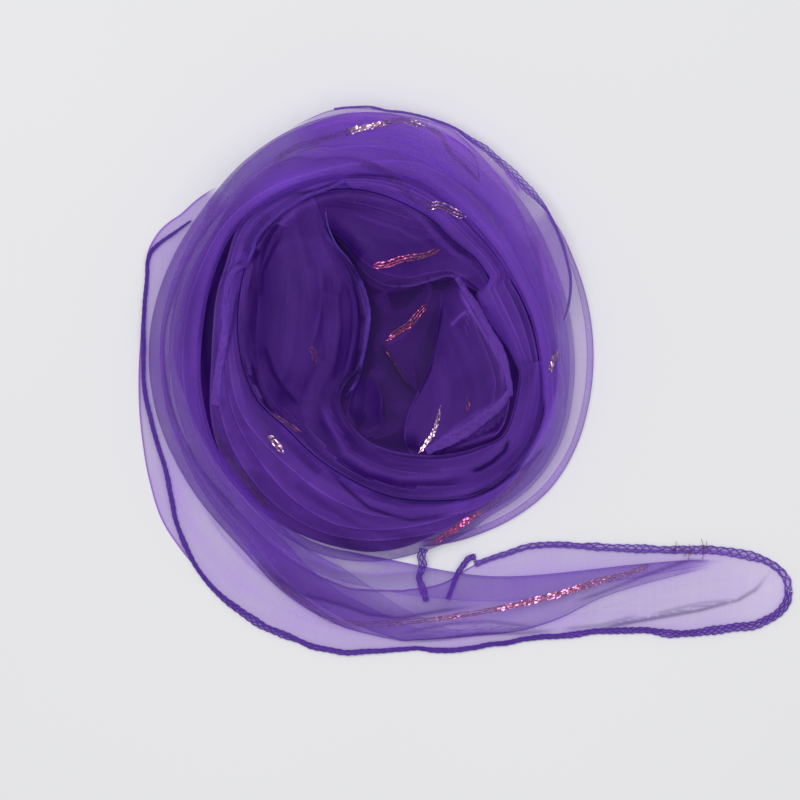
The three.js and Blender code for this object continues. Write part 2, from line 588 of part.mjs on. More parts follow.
addPiece('hem_far', hemOn(brimTop, { along: 20, middle: 0.3, lift: clearOfFold }), hemViolet);
addPiece('hem_second', hemOn(second, { along: 16, start: 0.66, end: 0.99, middle: 0.3, lift: clearOfFold }), hemViolet);
addPiece('hem_bud', hemOn(inside, { along: 16, start: 0.02, end: 0.9, middle: 0.05 }), hemViolet);

export default scarf;
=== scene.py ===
import math

import bpy
import numpy as np
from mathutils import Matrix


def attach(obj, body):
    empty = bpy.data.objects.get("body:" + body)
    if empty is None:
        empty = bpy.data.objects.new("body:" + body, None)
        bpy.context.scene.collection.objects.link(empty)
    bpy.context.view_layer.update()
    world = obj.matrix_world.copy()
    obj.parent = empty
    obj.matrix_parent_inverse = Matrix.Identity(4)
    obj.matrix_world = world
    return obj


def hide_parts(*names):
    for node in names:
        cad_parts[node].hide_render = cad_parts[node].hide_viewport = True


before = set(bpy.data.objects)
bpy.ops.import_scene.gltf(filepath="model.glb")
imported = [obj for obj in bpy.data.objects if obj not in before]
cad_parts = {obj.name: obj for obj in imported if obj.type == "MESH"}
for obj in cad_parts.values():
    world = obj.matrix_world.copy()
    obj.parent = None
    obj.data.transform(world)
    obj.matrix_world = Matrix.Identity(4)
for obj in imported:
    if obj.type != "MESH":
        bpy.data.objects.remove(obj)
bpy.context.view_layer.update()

# A sheer organza scarf, gathered lengthways and coiled like a rose, with one end trailing.
# Lengths in the tables are millimetres, and meshes are metres.
mm = 0.001
coilX, coilY = -44.3, 22.3
millimetresPerDegree = 1.75       # how far the trailing end runs for each degree of winding
meeting = 291                     # the wind where the outer turn leaves the valley for the bud
scene = bpy.context.scene


# Tables hold columns by name, and "wind" is degrees round the coil from the trailing end.
valley = {
    "wind": (0, 15, 30, 50, 68, 90, 110, 127, 145, 163, 180, 197, 213, 232, 250, 268, 280, 291, 303, 314,
             326),
    "distance": (100.5, 97.5, 91, 85, 78, 72, 71.5, 72.5, 70.5, 69, 68.5, 69.5, 67, 66, 68.5, 74.5, 79,
                 84.8, 89.2, 90.7, 88.2),
}
budLine = {
    "wind": (279, 291, 303, 314, 326, 336, 348, 366, 380, 398, 416, 431, 450, 468, 491, 508, 520, 532, 556,
             572, 585, 599, 610),
    "distance": (78.6, 84.8, 89.2, 90.7, 88.2, 82.4, 75.9, 65.6, 59.8, 55, 56, 55.6, 55.4, 57, 61.6, 63,
                 63.1, 61.9, 57.5, 55.6, 54.3, 57.5, 58.5),
}
outerTurn = {
    "wind": (0.1, 15, 30, 50, 68, 90, 110, 127, 145, 163, 180, 197, 213, 232, 250, 268, 285, 300, 313, 326),
    "outer": (137.4, 126, 113, 105.5, 101.5, 97, 93, 91.5, 94, 97, 98.5, 97, 93.5, 91.5, 90.5, 93, 97.5,
              102, 103, 101),
    "outerFoot": (1.5,) * 20,
    "innerFoot": (1.5, 5, 12, 18, 21, 23, 23.5, 24, 24.5, 25, 25, 24.5, 24, 23, 22.5, 22.5, 21.5, 19.5, 17,
                  15),
    "crown": (10, 14, 18, 22, 25, 27, 27, 28, 29, 30, 30, 29, 28, 27, 26, 26, 25, 23, 20, 17),
}
innerTurn = {
    "wind": (327, 343, 360, 375, 390, 405, 420, 436, 450, 464, 476, 492, 510, 530, 550, 570, 590, 608),
    "outer": (101.5, 103, 104.5, 102, 95.5, 88, 79.5, 71, 68, 68.2, 69, 73.5, 72, 70.5, 70.5, 69, 67.5,
              69.5),
    "outerFoot": (1.5, 1.5, 1.5, 5, 12, 18, 22, 23.5, 24, 24, 24, 23.5, 23, 23, 23, 23, 23, 22),
    "innerFoot": (15, 18, 21, 23, 25, 25.5, 25.5, 25.5, 25, 25, 24, 24, 25, 26, 26.5, 27, 27, 26),
    "crown": (19, 22, 24, 26, 28, 29, 29, 28.5, 28, 28, 27, 26, 27, 29, 30, 31, 31, 29),
}
rightHollow = {
    "wind": (610.6, 620, 630, 639, 647),
    "outer": (68.2, 71.3, 74.8, 78.3, 82.2),
    "inner": (52, 53, 58, 65.5, 72.5),
    "outerFoot": (22, 21, 20, 19, 18),
    "innerFoot": (25, 24, 23, 21, 19),
    "crown": (28, 28, 27, 25, 23),
}
# the gathered band on the trailing end: its upper edge, and the line below it where the lowest leaf ends
gatheredTail = {
    "x": (112, 98, 79, 61, 43, 25, 8, -10, -28),
    "upper": (-81.2, -81.6, -83.2, -85.2, -87.2, -88.6, -88.4, -85.8, -82.2),
    "lower": (-84.5, -88, -93, -99, -108, -113.5, -115.5, -117, -118),
    "crown": (3.4, 4.2, 5, 5.5, 6, 6.5, 7, 7.5, 8),
}
trailingSheet = {
    "x": (145.6, 141, 134, 124, 112, 98, 80, 62, 44, 30, 16, 5, -10, -28),
    "upper": (-90, -84.6, -80.8, -78.4, -76.8, -76.8, -76.4, -75.6, -74.4, -75.4, -79.5, -83.5, -92, -95),
    "lower": (-101, -106.6, -109.8, -111.8, -113, -114.8, -113.2, -113.4, -115.4, -117.2, -119.2, -120.8,
              -122, -121.6),
}
lowerSpread = {
    "wind": (0.1, 10, 21, 28, 34, 40, 47, 55, 65, 78, 90, 102, 110, 117, 122, 128, 134),
    "hem": (146.3, 144.2, 140, 137, 132.4, 126.4, 118.6, 109.8, 105.4, 102.2, 100, 101, 102.8, 96.6, 92.4,
            90, 88),
    "edge": (146.3, 144.2, 140, 137, 132.6, 129.4, 125.6, 118.9, 111.4, 104.6, 101.2, 101.6, 104.4, 102.6,
             98.6, 96.2, 93.4),
    "inner": (118, 113, 107, 103, 100, 98, 97, 95.5, 94, 92, 90, 87, 86, 85, 84.5, 84, 83),
}
topBrim = {
    "wind": (158, 166, 173, 188, 202, 212, 226, 236, 246, 255, 262, 268),
    "outer": (95.8, 98.6, 100.2, 99, 99.4, 97.8, 96.6, 97.6, 96.8, 95.4, 92.6, 88.5),
    "outerFoot": (10, 10, 11, 12, 12, 11.5, 11, 11, 12, 14, 15, 17),
    "inner": (84, 84, 82, 80, 79, 78, 77, 76, 76, 77, 79, 80),
    "innerFoot": (24, 24, 23, 23, 22, 22, 21, 21, 20, 20, 20, 20),
    "rise": (2,) * 12,
}
rightBrim = {
    "wind": (236, 244, 251, 262, 275, 287, 300, 311, 321, 331, 338, 346),
    "outer": (97.6, 99, 99.4, 101, 103.4, 106, 109, 110, 108.2, 105.4, 103.4, 100.8),
    "outerFoot": (5, 3, 2.4, 2, 1.6, 1.4, 1.2, 1.2, 1.2, 1.2, 1.2, 1.2),
    "inner": (84, 84, 84, 85, 86, 88, 90, 92, 93, 92, 91, 91),
    "innerFoot": (17, 17, 17, 16, 15, 14, 12, 10, 9, 7, 5, 4),
    "rise": (3,) * 12,
}
# the bud: its outer edge follows budLine, and x, y is the point across from it on its inner edge
petalRoll = {
    "wind": (280, 292, 303, 314, 324, 336, 349, 366, 380, 399, 416, 432, 450, 468, 486, 503, 519),
    "outerFoot": (20, 19, 17, 17, 17, 19, 22, 25, 27, 28, 28, 28, 28, 28, 28, 28, 28),
    "x": (25, 23.2, 17.6, 6.4, -5, -18, -32.5, -44, -50.8, -55.5, -53, -47.3, -44, -43.6, -47.2, -54.5,
          -62),
    "y": (6, -8, -24.2, -30, -33, -33.8, -31.8, -26.6, -19.8, -10.4, -2, 5, 17, 30, 43, 56, 68.5),
    "innerFoot": (20, 22, 22, 22, 22, 22, 22, 22, 22, 22, 24, 25, 25, 25, 27, 29, 29),
    "rise": (4, 7, 10.5, 12.5, 13.5, 14.5, 14, 13.5, 12.5, 12, 15, 17, 18, 18, 16.5, 13.5, 9),
}
topFlap = {
    "wind": (512, 525, 534, 546, 560, 574, 589, 608),
    "outerFoot": (27, 28, 28, 28, 28, 28, 28, 28),
    "x": (-58, -51.5, -44.5, -35.5, -24.5, -14, -6, 6.5),
    "y": (64, 57, 47.5, 41.8, 41.2, 43.8, 45.5, 38.5),
    "innerFoot": (29, 32, 34, 35, 35, 35, 34, 31),
    "rise": (7, 9, 11, 11, 10, 8, 6, 3.5),
}
rightPetal = {
    "row": (0, 1, 2, 3, 4, 5, 6, 7),
    "ax": (-0.7, 4.3, 10.6, 16, 19.6, 20, 15.5, 2.9),
    "ay": (43, 33.5, 22.3, 11, -0.2, -11.5, -23.6, -30.4),
    "az": (32, 33, 34, 34, 33.5, 32, 29, 27),
    "bx": (-10.1, -11.5, -13.3, -16, -20.9, -25.4, -26.8, -23.2),
    "by": (39.4, 27.7, 16.4, 5.2, -5.6, -16, -27.2, -34.4),
    "bz": (22, 20, 19, 18.5, 18.5, 19, 21, 23),
    "rise": (3, 5, 6.5, 7, 7, 6.5, 5, 3),
}
throatFold = {
    "row": (0, 1, 2, 3), "ax": (-53, -52, -49.5, -44), "ay": (-20, -12, -4, 3), "az": (22, 22, 21.5, 19),
    "bx": (-36.5, -36, -37, -40), "by": (-24, -15, -6, 1.5), "bz": (19, 19, 19, 18.4), "rise": (4, 5, 5, 3),
}


# creases drawn on a grid of squares, right and down from its corner; the light or dark edge of each
# and how much darker the cloth is to its left are a share of the range of tones. A light edge is a
# painted highlight along the fold, a dark edge is partly denser cloth and partly painted shade, and
# the darker side to the left is painted shade
grid = {"step": 0.45, "x": 463.5, "y": 379.5}
creases = [
    # outer turn
    {"edge": 0.12, "shade": 0.22,
     "path": ((239, 159), (221, 183), (211, 197), (201, 233), (185, 261), (175, 287), (165, 335))},
    {"edge": 0.10, "shade": 0.18,
     "path": ((258, 172), (240, 190), (228, 208), (215, 236), (198, 268), (186, 300), (180, 340),
              (182, 380))},
    {"edge": -0.2, "shade": 0.35,
     "path": ((395, 177), (375, 167), (355, 160), (335, 159), (315, 161), (293, 158), (275, 165),
              (257, 179))},
    {"edge": -0.5,
     "path": ((283, 201), (295, 195), (315, 193), (327, 188), (339, 183), (347, 187), (355, 193))},
    {"edge": -0.4, "shade": 0.2, "path": ((395, 183), (383, 178), (365, 177), (345, 178))},
    {"wide": 1.8, "edge": 0.25, "shade": 0.38,
     "path": ((222, 243), (223, 263), (215, 281), (205, 305), (200, 335), (203, 375), (210, 421),
              (225, 457), (244, 485), (266, 507), (289, 523), (323, 539), (357, 555), (380, 560),
              (400, 564))},
    {"wide": 1.8, "edge": 0.2, "shade": 0.5,
     "path": ((528, 402), (534, 378), (536, 356), (534, 343), (532, 321), (520, 295), (504, 267),
              (488, 243), (468, 227), (444, 207))},
    {"edge": 0.3, "shade": 0.2,
     "path": ((460, 179), (440, 165), (426, 153), (410, 143), (384, 135), (362, 135))},
    {"edge": 0.15, "shade": 0.2,
     "path": ((512, 232), (494, 208), (470, 188), (446, 176), (420, 160), (396, 152), (366, 148),
              (336, 149), (306, 152))},
    {"edge": 0.2, "path": ((303, 133), (321, 126), (345, 121), (365, 119))},
    {"edge": 0.8, "path": ((441, 136), (451, 140), (462, 147), (472, 155))},
    {"edge": 0.6, "path": ((461, 129), (469, 139), (477, 147), (484, 152))},
    {"edge": 0.7, "path": ((504, 171), (512, 181), (520, 193))},
    {"edge": 0.2, "shade": 0.2,
     "path": ((561, 343), (560, 325), (556, 301), (546, 279), (540, 255), (536, 231))},
    {"edge": 0.1, "shade": 0.15,
     "path": ((548, 372), (549, 340), (544, 310), (530, 280), (520, 256), (506, 232))},
    {"edge": 0.25, "shade": 0.15, "path": ((566, 410), (567, 380), (561, 356), (560, 330))},
    {"edge": 0.35, "shade": 0.2,
     "path": ((486, 480), (510, 470), (530, 450), (546, 426), (554, 400), (558, 380), (560, 360))},
    {"edge": -0.45, "path": ((460, 496), (492, 488), (512, 474), (528, 464), (548, 442))},
    {"edge": 0.1, "shade": 0.2,
     "path": ((162, 330), (164, 375), (166, 410), (175, 439), (189, 457), (205, 480), (224, 506),
              (244, 530))},
    {"edge": 0.4, "path": ((175, 428), (178, 436), (182, 444))},
    {"edge": 0.35, "shade": 0.15, "path": ((239, 510), (253, 523), (266, 537), (280, 548), (303, 553))},
    {"edge": 0.3, "path": ((250, 544), (266, 554), (278, 554))},
    {"edge": 0.3, "shade": 0.25,
     "path": ((440, 569), (400, 573), (369, 575), (341, 571), (319, 562), (294, 553))},
    {"edge": -0.3, "shade": 0.3,
     "path": ((257, 557), (275, 578), (303, 596), (323, 600), (346, 607), (369, 615), (400, 619),
              (440, 612), (480, 606))},
    {"edge": 0.2, "shade": 0.15, "path": ((200, 505), (222, 536), (250, 566), (282, 590), (318, 612))},
    # inner turn
    {"wide": 2.2, "edge": 0.4, "shade": 0.5,
     "path": ((425, 552), (400, 554), (380, 548), (357, 537), (323, 519), (294, 510), (289, 498),
              (275, 482), (264, 469), (248, 466), (235, 439), (221, 421))},
    {"edge": -0.6,
     "path": ((330, 471), (346, 487), (369, 507), (396, 516), (410, 519), (430, 517), (455, 512))},
    {"wide": 2.0, "edge": 0.35, "shade": 0.35,
     "path": ((480, 512), (440, 528), (400, 530), (360, 520), (330, 500), (300, 478), (276, 455))},
    {"edge": 0.25, "path": ((287, 478), (298, 474), (306, 480))},
    {"edge": 0.6, "shade": 0.5,
     "path": ((216, 403), (217, 380), (222, 350), (224, 320), (226, 290), (232, 275), (247, 265))},
    {"edge": -0.4, "path": ((228, 405), (229, 385), (226, 364), (233, 330), (238, 300), (243, 285))},
    {"edge": -0.6, "path": ((222, 278), (232, 272), (243, 262))},
    {"wide": 1.8, "edge": 0.3, "shade": 0.3,
     "path": ((508, 255), (484, 231), (464, 215), (444, 207), (424, 196))},
    # bud
    {"wide": 2.4, "edge": 0.5, "shade": 0.42,
     "path": ((245, 330), (243, 290), (255, 255), (275, 230), (300, 208), (325, 198), (350, 195),
              (375, 199), (400, 205), (418, 216), (436, 236), (455, 254), (475, 266), (483, 276),
              (485, 289), (482, 303))},
    {"edge": -0.6, "path": ((255, 262), (262, 248), (272, 235), (283, 222))},
    {"edge": -0.35, "path": ((262, 300), (264, 275), (275, 250), (285, 236))},
    {"wide": 2.2, "edge": 0.55, "shade": 0.45,
     "path": ((510, 470), (480, 488), (460, 494), (430, 497), (400, 496), (357, 485), (323, 464),
              (298, 439), (271, 412), (253, 382), (244, 353), (243, 320))},
    {"wide": 2.0, "edge": 0.4, "shade": 0.4,
     "path": ((470, 471), (440, 477), (400, 478), (369, 469), (346, 453), (328, 421), (319, 396))},
    {"edge": 0.15, "shade": 0.2,
     "path": ((450, 462), (420, 465), (390, 460), (362, 446), (344, 424), (334, 398))},
    {"edge": -0.45, "shade": 0.2, "path": ((300, 405), (285, 389), (275, 373), (266, 345))},
    {"edge": -0.8, "path": ((253, 364), (257, 382), (266, 403), (273, 414))},
    {"edge": -0.9, "path": ((470, 471), (480, 468), (492, 461), (504, 450), (508, 438))},
    {"wide": 1.7, "edge": 0.45, "shade": 0.6,
     "path": ((348, 396), (346, 410), (357, 430), (371, 444), (400, 451), (426, 454), (446, 450),
              (470, 442), (498, 432), (508, 416), (511, 396))},
    {"edge": 0.7, "shade": 0.6,
     "path": ((325, 215), (322, 222), (330, 240), (345, 257), (358, 276), (364, 300), (368, 320),
              (365, 345), (362, 365), (356, 385), (347, 398))},
    {"edge": -0.35, "path": ((352, 278), (358, 300), (361, 320), (359, 345), (355, 365), (350, 380))},
    {"edge": 0.2, "shade": 0.25, "path": ((322, 270), (323, 295), (322, 310), (318, 330), (312, 348))},
    {"edge": -0.2, "shade": 0.15, "path": ((345, 280), (340, 300), (342, 330), (338, 360), (332, 385))},
    {"wide": 1.8, "edge": 0.45, "shade": 0.7,
     "path": ((475, 278), (450, 279), (430, 282), (405, 290), (385, 292), (370, 285), (355, 270))},
    {"edge": 0.2, "path": ((345, 214), (370, 222), (400, 232), (425, 246))},
    {"edge": 0.6, "path": ((455, 280), (463, 300), (476, 322), (490, 345), (500, 365), (503, 390))},
    {"edge": 0.5, "shade": 0.5,
     "path": ((462, 280), (472, 298), (486, 318), (500, 340), (508, 365), (509, 390))},
    {"edge": 0.6, "path": ((467, 311), (458, 318), (450, 327))},
    {"edge": 0.3, "path": ((426, 450), (446, 434), (468, 418), (492, 404), (504, 390))},
    {"edge": -0.3, "path": ((436, 456), (456, 442), (478, 427), (498, 412))},
    {"edge": 0.35, "path": ((428, 282), (430, 295), (425, 305))},
    {"edge": 0.15, "shade": 0.5,
     "path": ((412, 410), (420, 395), (432, 370), (436, 345), (441, 325), (445, 300))},
    {"edge": 0.2, "shade": 0.4, "path": ((375, 380), (383, 395), (381, 420))},
    {"edge": 0.3, "path": ((360, 432), (372, 431), (380, 425))},
    {"edge": -0.7, "shade": 0.4, "path": ((418, 396), (408, 386), (398, 372), (388, 356), (382, 344))},
    {"edge": 0.35, "path": ((382, 294), (390, 289), (398, 288))},
    {"edge": 0.5, "path": ((384, 345), (392, 342), (400, 338), (410, 330), (420, 316))},
    # trailing end
    {"edge": -0.5,
     "path": ((773, 570), (757, 590), (740, 600), (700, 611), (660, 618), (620, 625), (590, 632))},
    {"edge": -0.25, "path": ((740, 600), (700, 604), (650, 616))},
    {"edge": -0.3, "path": ((725, 562), (712, 562), (690, 560), (650, 574), (610, 590), (570, 604))},
    {"edge": -0.35, "path": ((560, 630), (520, 634), (480, 634), (440, 640), (400, 642))},
    {"edge": -0.25, "path": ((640, 616), (600, 626), (560, 630))},
    {"edge": -0.25, "path": ((540, 628), (490, 622), (450, 624), (400, 634))},
]


def readTable(table, key, at):
    # every column along a cubic through its rows, whose slope at a row comes from the rows beside it
    keys = np.array(table[key], float)
    last = len(keys) - 1
    low, high = np.maximum(np.arange(last + 1) - 1, 0), np.minimum(np.arange(last + 1) + 1, last)
    i = np.clip(np.searchsorted(keys, at, side="right") - 1, 0, last - 1)
    span = keys[i + 1] - keys[i]
    t = (at - keys[i]) / span
    row = {}
    for column, values in table.items():
        v = np.array(values, float)
        slope = (v[high] - v[low]) / (keys[high] - keys[low])
        s0, s1, step = slope[i] * span, slope[i + 1] * span, v[i + 1] - v[i]
        row[column] = v[i] + s0 * t + (3 * step - 2 * s0 - s1) * t**2 + (s0 + s1 - 2 * step) * t**3
    return row


def softNoise(x, y, seed):
    # random heights from -1 to 1 on a square lattice, blended between its corners by 3t^2 - 2t^3
    side = 61
    lattice = np.random.default_rng(seed).uniform(-1, 1, (side, side))
    x, y = np.broadcast_arrays(x, y)
    i, j = np.floor(x).astype(int), np.floor(y).astype(int)
    tx, ty = x - i, y - j
    tx, ty = tx * tx * (3 - 2 * tx), ty * ty * (3 - 2 * ty)
    near = lattice[i % side, j % side] * (1 - tx) + lattice[(i + 1) % side, j % side] * tx
    far = lattice[i % side, (j + 1) % side] * (1 - tx) + lattice[(i + 1) % side, (j + 1) % side] * tx
    return near * (1 - ty) + far * ty


def onCoil(wind, distance):
    # a point at a distance from the coil's centre, turned clockwise from straight down by wind degrees
    angle = np.radians(-90 - wind)
    return coilX + distance * np.cos(angle), coilY + distance * np.sin(angle)


def sectionRows(ax, ay, az, bx, by, bz, rise):
    # a section across a stretch: its outer foot a, its inner foot b, and how far it swells between
    return np.stack(np.broadcast_arrays(ax, ay, az, bx, by, bz, rise), axis=-1).astype(float)


def coiledRows(wind, outer, inner, outerFoot, innerFoot, crown=None, rise=None):
    swell = rise if crown is None else crown - (outerFoot + innerFoot) / 2
    return sectionRows(*onCoil(wind, outer), outerFoot, *onCoil(wind, inner), innerFoot, swell)


class Stretch:
    # a stretch of cloth as a surface: sections along it, read by distance or by the key they came with
    def __init__(self, keys, rows):
        self.keys, self.rows = np.array(keys, float), rows
        middle = (rows[:, 0:3] + rows[:, 3:6]) / 2
        steps = np.linalg.norm(np.diff(middle, axis=0), axis=1)
        self.distance = np.concatenate([[0], np.cumsum(steps)])
        self.length = self.distance[-1]

    def keyAt(self, distance):
        # the key a distance along the stretch stands for
        return np.interp(distance, self.distance, self.keys)

    def sections(self, distance):
        # the seven numbers of the section there
        table = {"distance": self.distance}
        for c in range(7):
            table[c] = self.rows[:, c]
        row = readTable(table, "distance", distance)
        return np.stack([row[c] for c in range(7)], axis=-1)

    def width(self, distance):
        # straight from foot to foot
        s = self.sections(distance)
        return np.linalg.norm(s[..., 0:3] - s[..., 3:6], axis=-1)

    def at(self, distance, share, sink):
        # from foot to foot by share, and up by half an ellipse whose height is the swell less the sink
        s = self.sections(distance)
        share = np.clip(share, -0.2, 1.2)
        inside = np.clip(share, 0, 1)
        arch = (4 * np.maximum(inside * (1 - inside), 0)) ** 0.42
        flat = s[..., 0:3] + (s[..., 3:6] - s[..., 0:3]) * share[..., None]
        flat[..., 2] += np.maximum(s[..., 6] - sink, 0.3) * arch
        return flat


def evenKeys(low, high, step):
    # values from low to high, no further apart than the step
    return np.linspace(low, high, max(2, int(math.ceil((high - low) / step)) + 1))


def gridLine(path):
    # grid squares to millimetres
    path = np.array(path, float)
    return (path[:, 0] - grid["x"]) * grid["step"], (grid["y"] - path[:, 1]) * grid["step"]


def creaseField(x, y):
    # signed distance to the nearest crease, left of its direction being positive, with that crease's
    # own edge and shade, both fading towards its ends
    best, gap = np.full(x.shape, 30.0), np.full(x.shape, 30.0)
    edge, shade = np.zeros(x.shape), np.zeros(x.shape)
    for crease in creases:
        px, py = gridLine(crease["path"])
        run = runOf(px, py)
        for k in range(len(px) - 1):
            dx, dy = px[k + 1] - px[k], py[k + 1] - py[k]
            t = np.clip(((x - px[k]) * dx + (y - py[k]) * dy) / (dx * dx + dy * dy), 0, 1)
            rx, ry = x - px[k] - t * dx, y - py[k] - t * dy
            d = np.hypot(rx, ry)
            closer = d < best
            best = np.where(closer, d, best)
            gap = np.where(closer, np.sign(dx * ry - dy * rx) * d / crease.get("wide", 1.0), gap)
            place = (run[k] + t * (run[k + 1] - run[k])) / run[-1]
            fade = np.minimum(1, 7 * np.minimum(place, 1 - place)) * np.clip(2 - d / 6, 0, 1)
            edge = np.where(closer, crease["edge"] * fade, edge)
            shade = np.where(closer, crease.get("shade", 0.0) * fade, shade)
    return np.clip(gap, -12, 12), edge, shade


def putMesh(name, points, faces, uv=None, attributes=None, faceTone=None, smooth=True):
    # whole arrays to a mesh of four-cornered faces, millimetres to metres
    mesh = bpy.data.meshes.new(name)
    points, faces = np.asarray(points, np.float32).reshape(-1, 3), np.asarray(faces, np.int32)
    mesh.vertices.add(len(points))
    mesh.vertices.foreach_set("co", points.ravel() * mm)
    mesh.loops.add(faces.size)
    mesh.loops.foreach_set("vertex_index", faces.ravel())
    mesh.polygons.add(len(faces))
    mesh.polygons.foreach_set("loop_start", np.arange(0, faces.size, 4, dtype=np.int32))
    mesh.polygons.foreach_set("use_smooth", np.full(len(faces), smooth))
    if uv is not None:
        layer = mesh.uv_layers.new(name="cloth")
        layer.data.foreach_set("uv", np.asarray(uv, np.float32).reshape(-1, 2)[faces.ravel()].ravel() * mm)
    for title, values in (attributes or {}).items():
        spot = mesh.attributes.new(title, "FLOAT", "POINT")
        spot.data.foreach_set("value", np.asarray(values, np.float32).ravel())
    if faceTone is not None:
        spot = mesh.attributes.new("tone", "FLOAT", "FACE")
        spot.data.foreach_set("value", np.asarray(faceTone, np.float32).ravel())
    mesh.update(calc_edges=True)
    mesh.validate()
    thing = bpy.data.objects.new(name, mesh)
    scene.collection.objects.link(thing)
    return thing


def gridFaces(rows, columns, flip=False, first=0):
    # four corners a face over a grid of points, counted row by row
    i, j = np.meshgrid(np.arange(rows - 1), np.arange(columns - 1), indexing="ij")
    a = first + (i * columns + j).ravel()
    quads = np.stack([a, a + columns, a + columns + 1, a + 1], axis=1)
    return quads[:, ::-1] if flip else quads


def facesUp(points):
    # whether a grid's faces look down where it is widest, so that they have to be turned
    du, dv = np.diff(points, axis=0)[:, :-1], np.diff(points, axis=1)[:-1]
    return np.cross(du, dv)[..., 2].sum() < 0


cloths = []       # grids of points already laid, for what is placed on top of them
creaseDip = 1.2   # how far the shaded side of a full crease sinks
lowestLeaf, leafGap = 0.5, 0.1  # the last leaf's height where cloth lies flat, and the next one's above it


def dress(thing, material, replaced=()):
    # its material, its slot, and the solids whose place it takes
    thing.data.materials.append(material)
    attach(thing, "root")
    if replaced:
        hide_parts(*replaced)
    return thing


def layCloth(name, stretch, piece, material, replaced=()):
    # Across, the cloth runs to and fro between its fold lines by (1 - cos)/2 while it sinks evenly
    # under itself, so no two leaves cross. Soft waves run lengthways over all leaves, less near feet.
    leaves, fine = len(piece["folds"]) - 1, piece["leafSteps"]
    along = np.linspace(0, stretch.length, piece["alongSteps"] + 1)
    key = stretch.keyAt(along)
    turn = np.linspace(0, leaves, leaves * fine + 1)
    leaf = np.minimum(turn.astype(int), leaves - 1)
    ease = (1 - np.cos(np.pi * (turn - leaf))) / 2
    lines = []
    for k, line in enumerate(piece["folds"]):
        sway = piece.get("sway", 0.02) * softNoise(along / 55 + 9.3 * k, 0.5 + 3.7 * k, piece["seed"])
        base = np.interp(key, line["wind"], line["share"])
        lines.append(np.clip(base + sway * np.clip(8 * base, 0, 1) * np.clip(8 * (1 - base), 0, 1), 0, 1))
    lines = np.stack(lines)
    start, end = lines[leaf], lines[leaf + 1]                      # one row for each step across
    share = (start + (end - start) * ease[:, None]).T              # along, across
    u, t = np.broadcast_arrays(along[:, None], turn[None, :])
    gap = np.interp(key, piece["gap"]["wind"], piece["gap"]["depth"])[:, None]
    sink = gap * t
    width = stretch.width(along)[:, None]
    across = share * width
    cut = np.concatenate([np.zeros((len(along), 1)), np.cumsum(np.abs(np.diff(across, axis=1)), axis=1)],
                         axis=1)
    points = stretch.at(u, share, sink)
    inside = np.clip(share, 0, 1)
    arch = 2 * np.sqrt(np.maximum(inside * (1 - inside), 0))
    wave = 0.0
    for k, w in enumerate(piece["waves"]):
        drift = w.get("drift", 0.0)
        n = softNoise(u / w["long"] + 5.1 * k, across / w["wide"] + drift * u / w["long"] + 2.3 * k,
                      piece["seed"] + 11 + k)
        if w.get("sharp"):
            n = 1 - 2 * np.sqrt(n * n + 0.01)                       # a ridge where the noise crosses zero
        wave = wave + w["height"] * n
    own = piece.get("own", 0.3) * softNoise(u / 60, cut / 9.0, piece["seed"] + 5)
    points[..., 2] += (wave + own) * (0.25 + 0.75 * arch) * np.clip(width / 25, 0.3, 1)
    near = np.minimum(np.abs(share - start.T), np.abs(share - end.T)) * width
    gapAcross, edge, shade = creaseField(points[..., 0], points[..., 1])
    weight = np.interp(t, (0, 1, 2, 3), (1, 0.9, 0.6, 0.3))         # creases fade in the leaves below
    dip = shade * (gapAcross > 0) * np.exp(-np.abs(gapAcross) / 3.0)
    points[..., 2] -= creaseDip * dip * arch
    points[..., 2] = np.maximum(points[..., 2], lowestLeaf + leafGap * (leaves - t))
    density, glow = np.ones(t.shape), np.zeros(t.shape)
    if "thin" in piece:
        thin = piece["thin"]
        fade = np.interp(key, thin["wind"], thin["density"])[:, None]
        density = np.where(t > thin["fromLeaf"], np.clip(t - thin["fromLeaf"], 0, 1) * (fade - 1) + 1, 1.0)
    if "loose" in piece:
        loose = piece["loose"]
        density = density * np.interp(key, loose["wind"], loose["density"])[:, None]
        glow = glow + np.interp(key, loose["wind"], loose["glow"])[:, None]
    ends = np.minimum(along, stretch.length - along)[:, None] / max(piece.get("endFade", 0.001), 0.001)
    density = density * np.clip(ends, 0, 1) if "endFade" in piece else density
    uv = np.stack([u, cut], axis=-1)
    thing = putMesh(name, points, gridFaces(*t.shape, flip=facesUp(points[:, :fine + 1])), uv,
                    {"foldGap": np.minimum(near, 6), "creaseGap": gapAcross, "edge": edge * weight,
                     "shade": shade * weight, "weave": density, "glow": glow})
    cloths.append(points.reshape(-1, 3))
    area = float(np.mean(cut[:, -1]) * stretch.length)
    print(f"{name}: {leaves} leaves, {len(thing.data.polygons)} faces, length {stretch.length:.0f} mm, "
          f"mean cut width {np.mean(cut[:, -1]):.0f} mm, area {area:.0f} mm2")
    return dress(thing, material, replaced)


def settle(x, y, lift, reach=1.3, smooth=9):
    # the height of the highest cloth within reach of each point in plan, evened along the line
    every = np.concatenate(cloths)
    z = np.zeros(len(x))
    box = (every[:, 0] > x.min() - 3) & (every[:, 0] < x.max() + 3)
    box &= (every[:, 1] > y.min() - 3) & (every[:, 1] < y.max() + 3)
    every = every[box]
    for part in np.array_split(np.arange(len(x)), max(1, len(x) // 40)):
        near = np.hypot(every[None, :, 0] - x[part, None], every[None, :, 1] - y[part, None]) < reach
        z[part] = np.where(near, every[None, :, 2], 0.3).max(axis=1)
    padded = np.concatenate([np.full(smooth, z[0]), z, np.full(smooth, z[-1])])
    kernel = np.hanning(2 * smooth + 1)
    return np.convolve(padded, kernel / kernel.sum(), mode="valid") + lift


def runOf(x, y):
    # how far along a line each of its points is
    return np.concatenate([[0], np.cumsum(np.hypot(np.diff(x), np.diff(y)))])


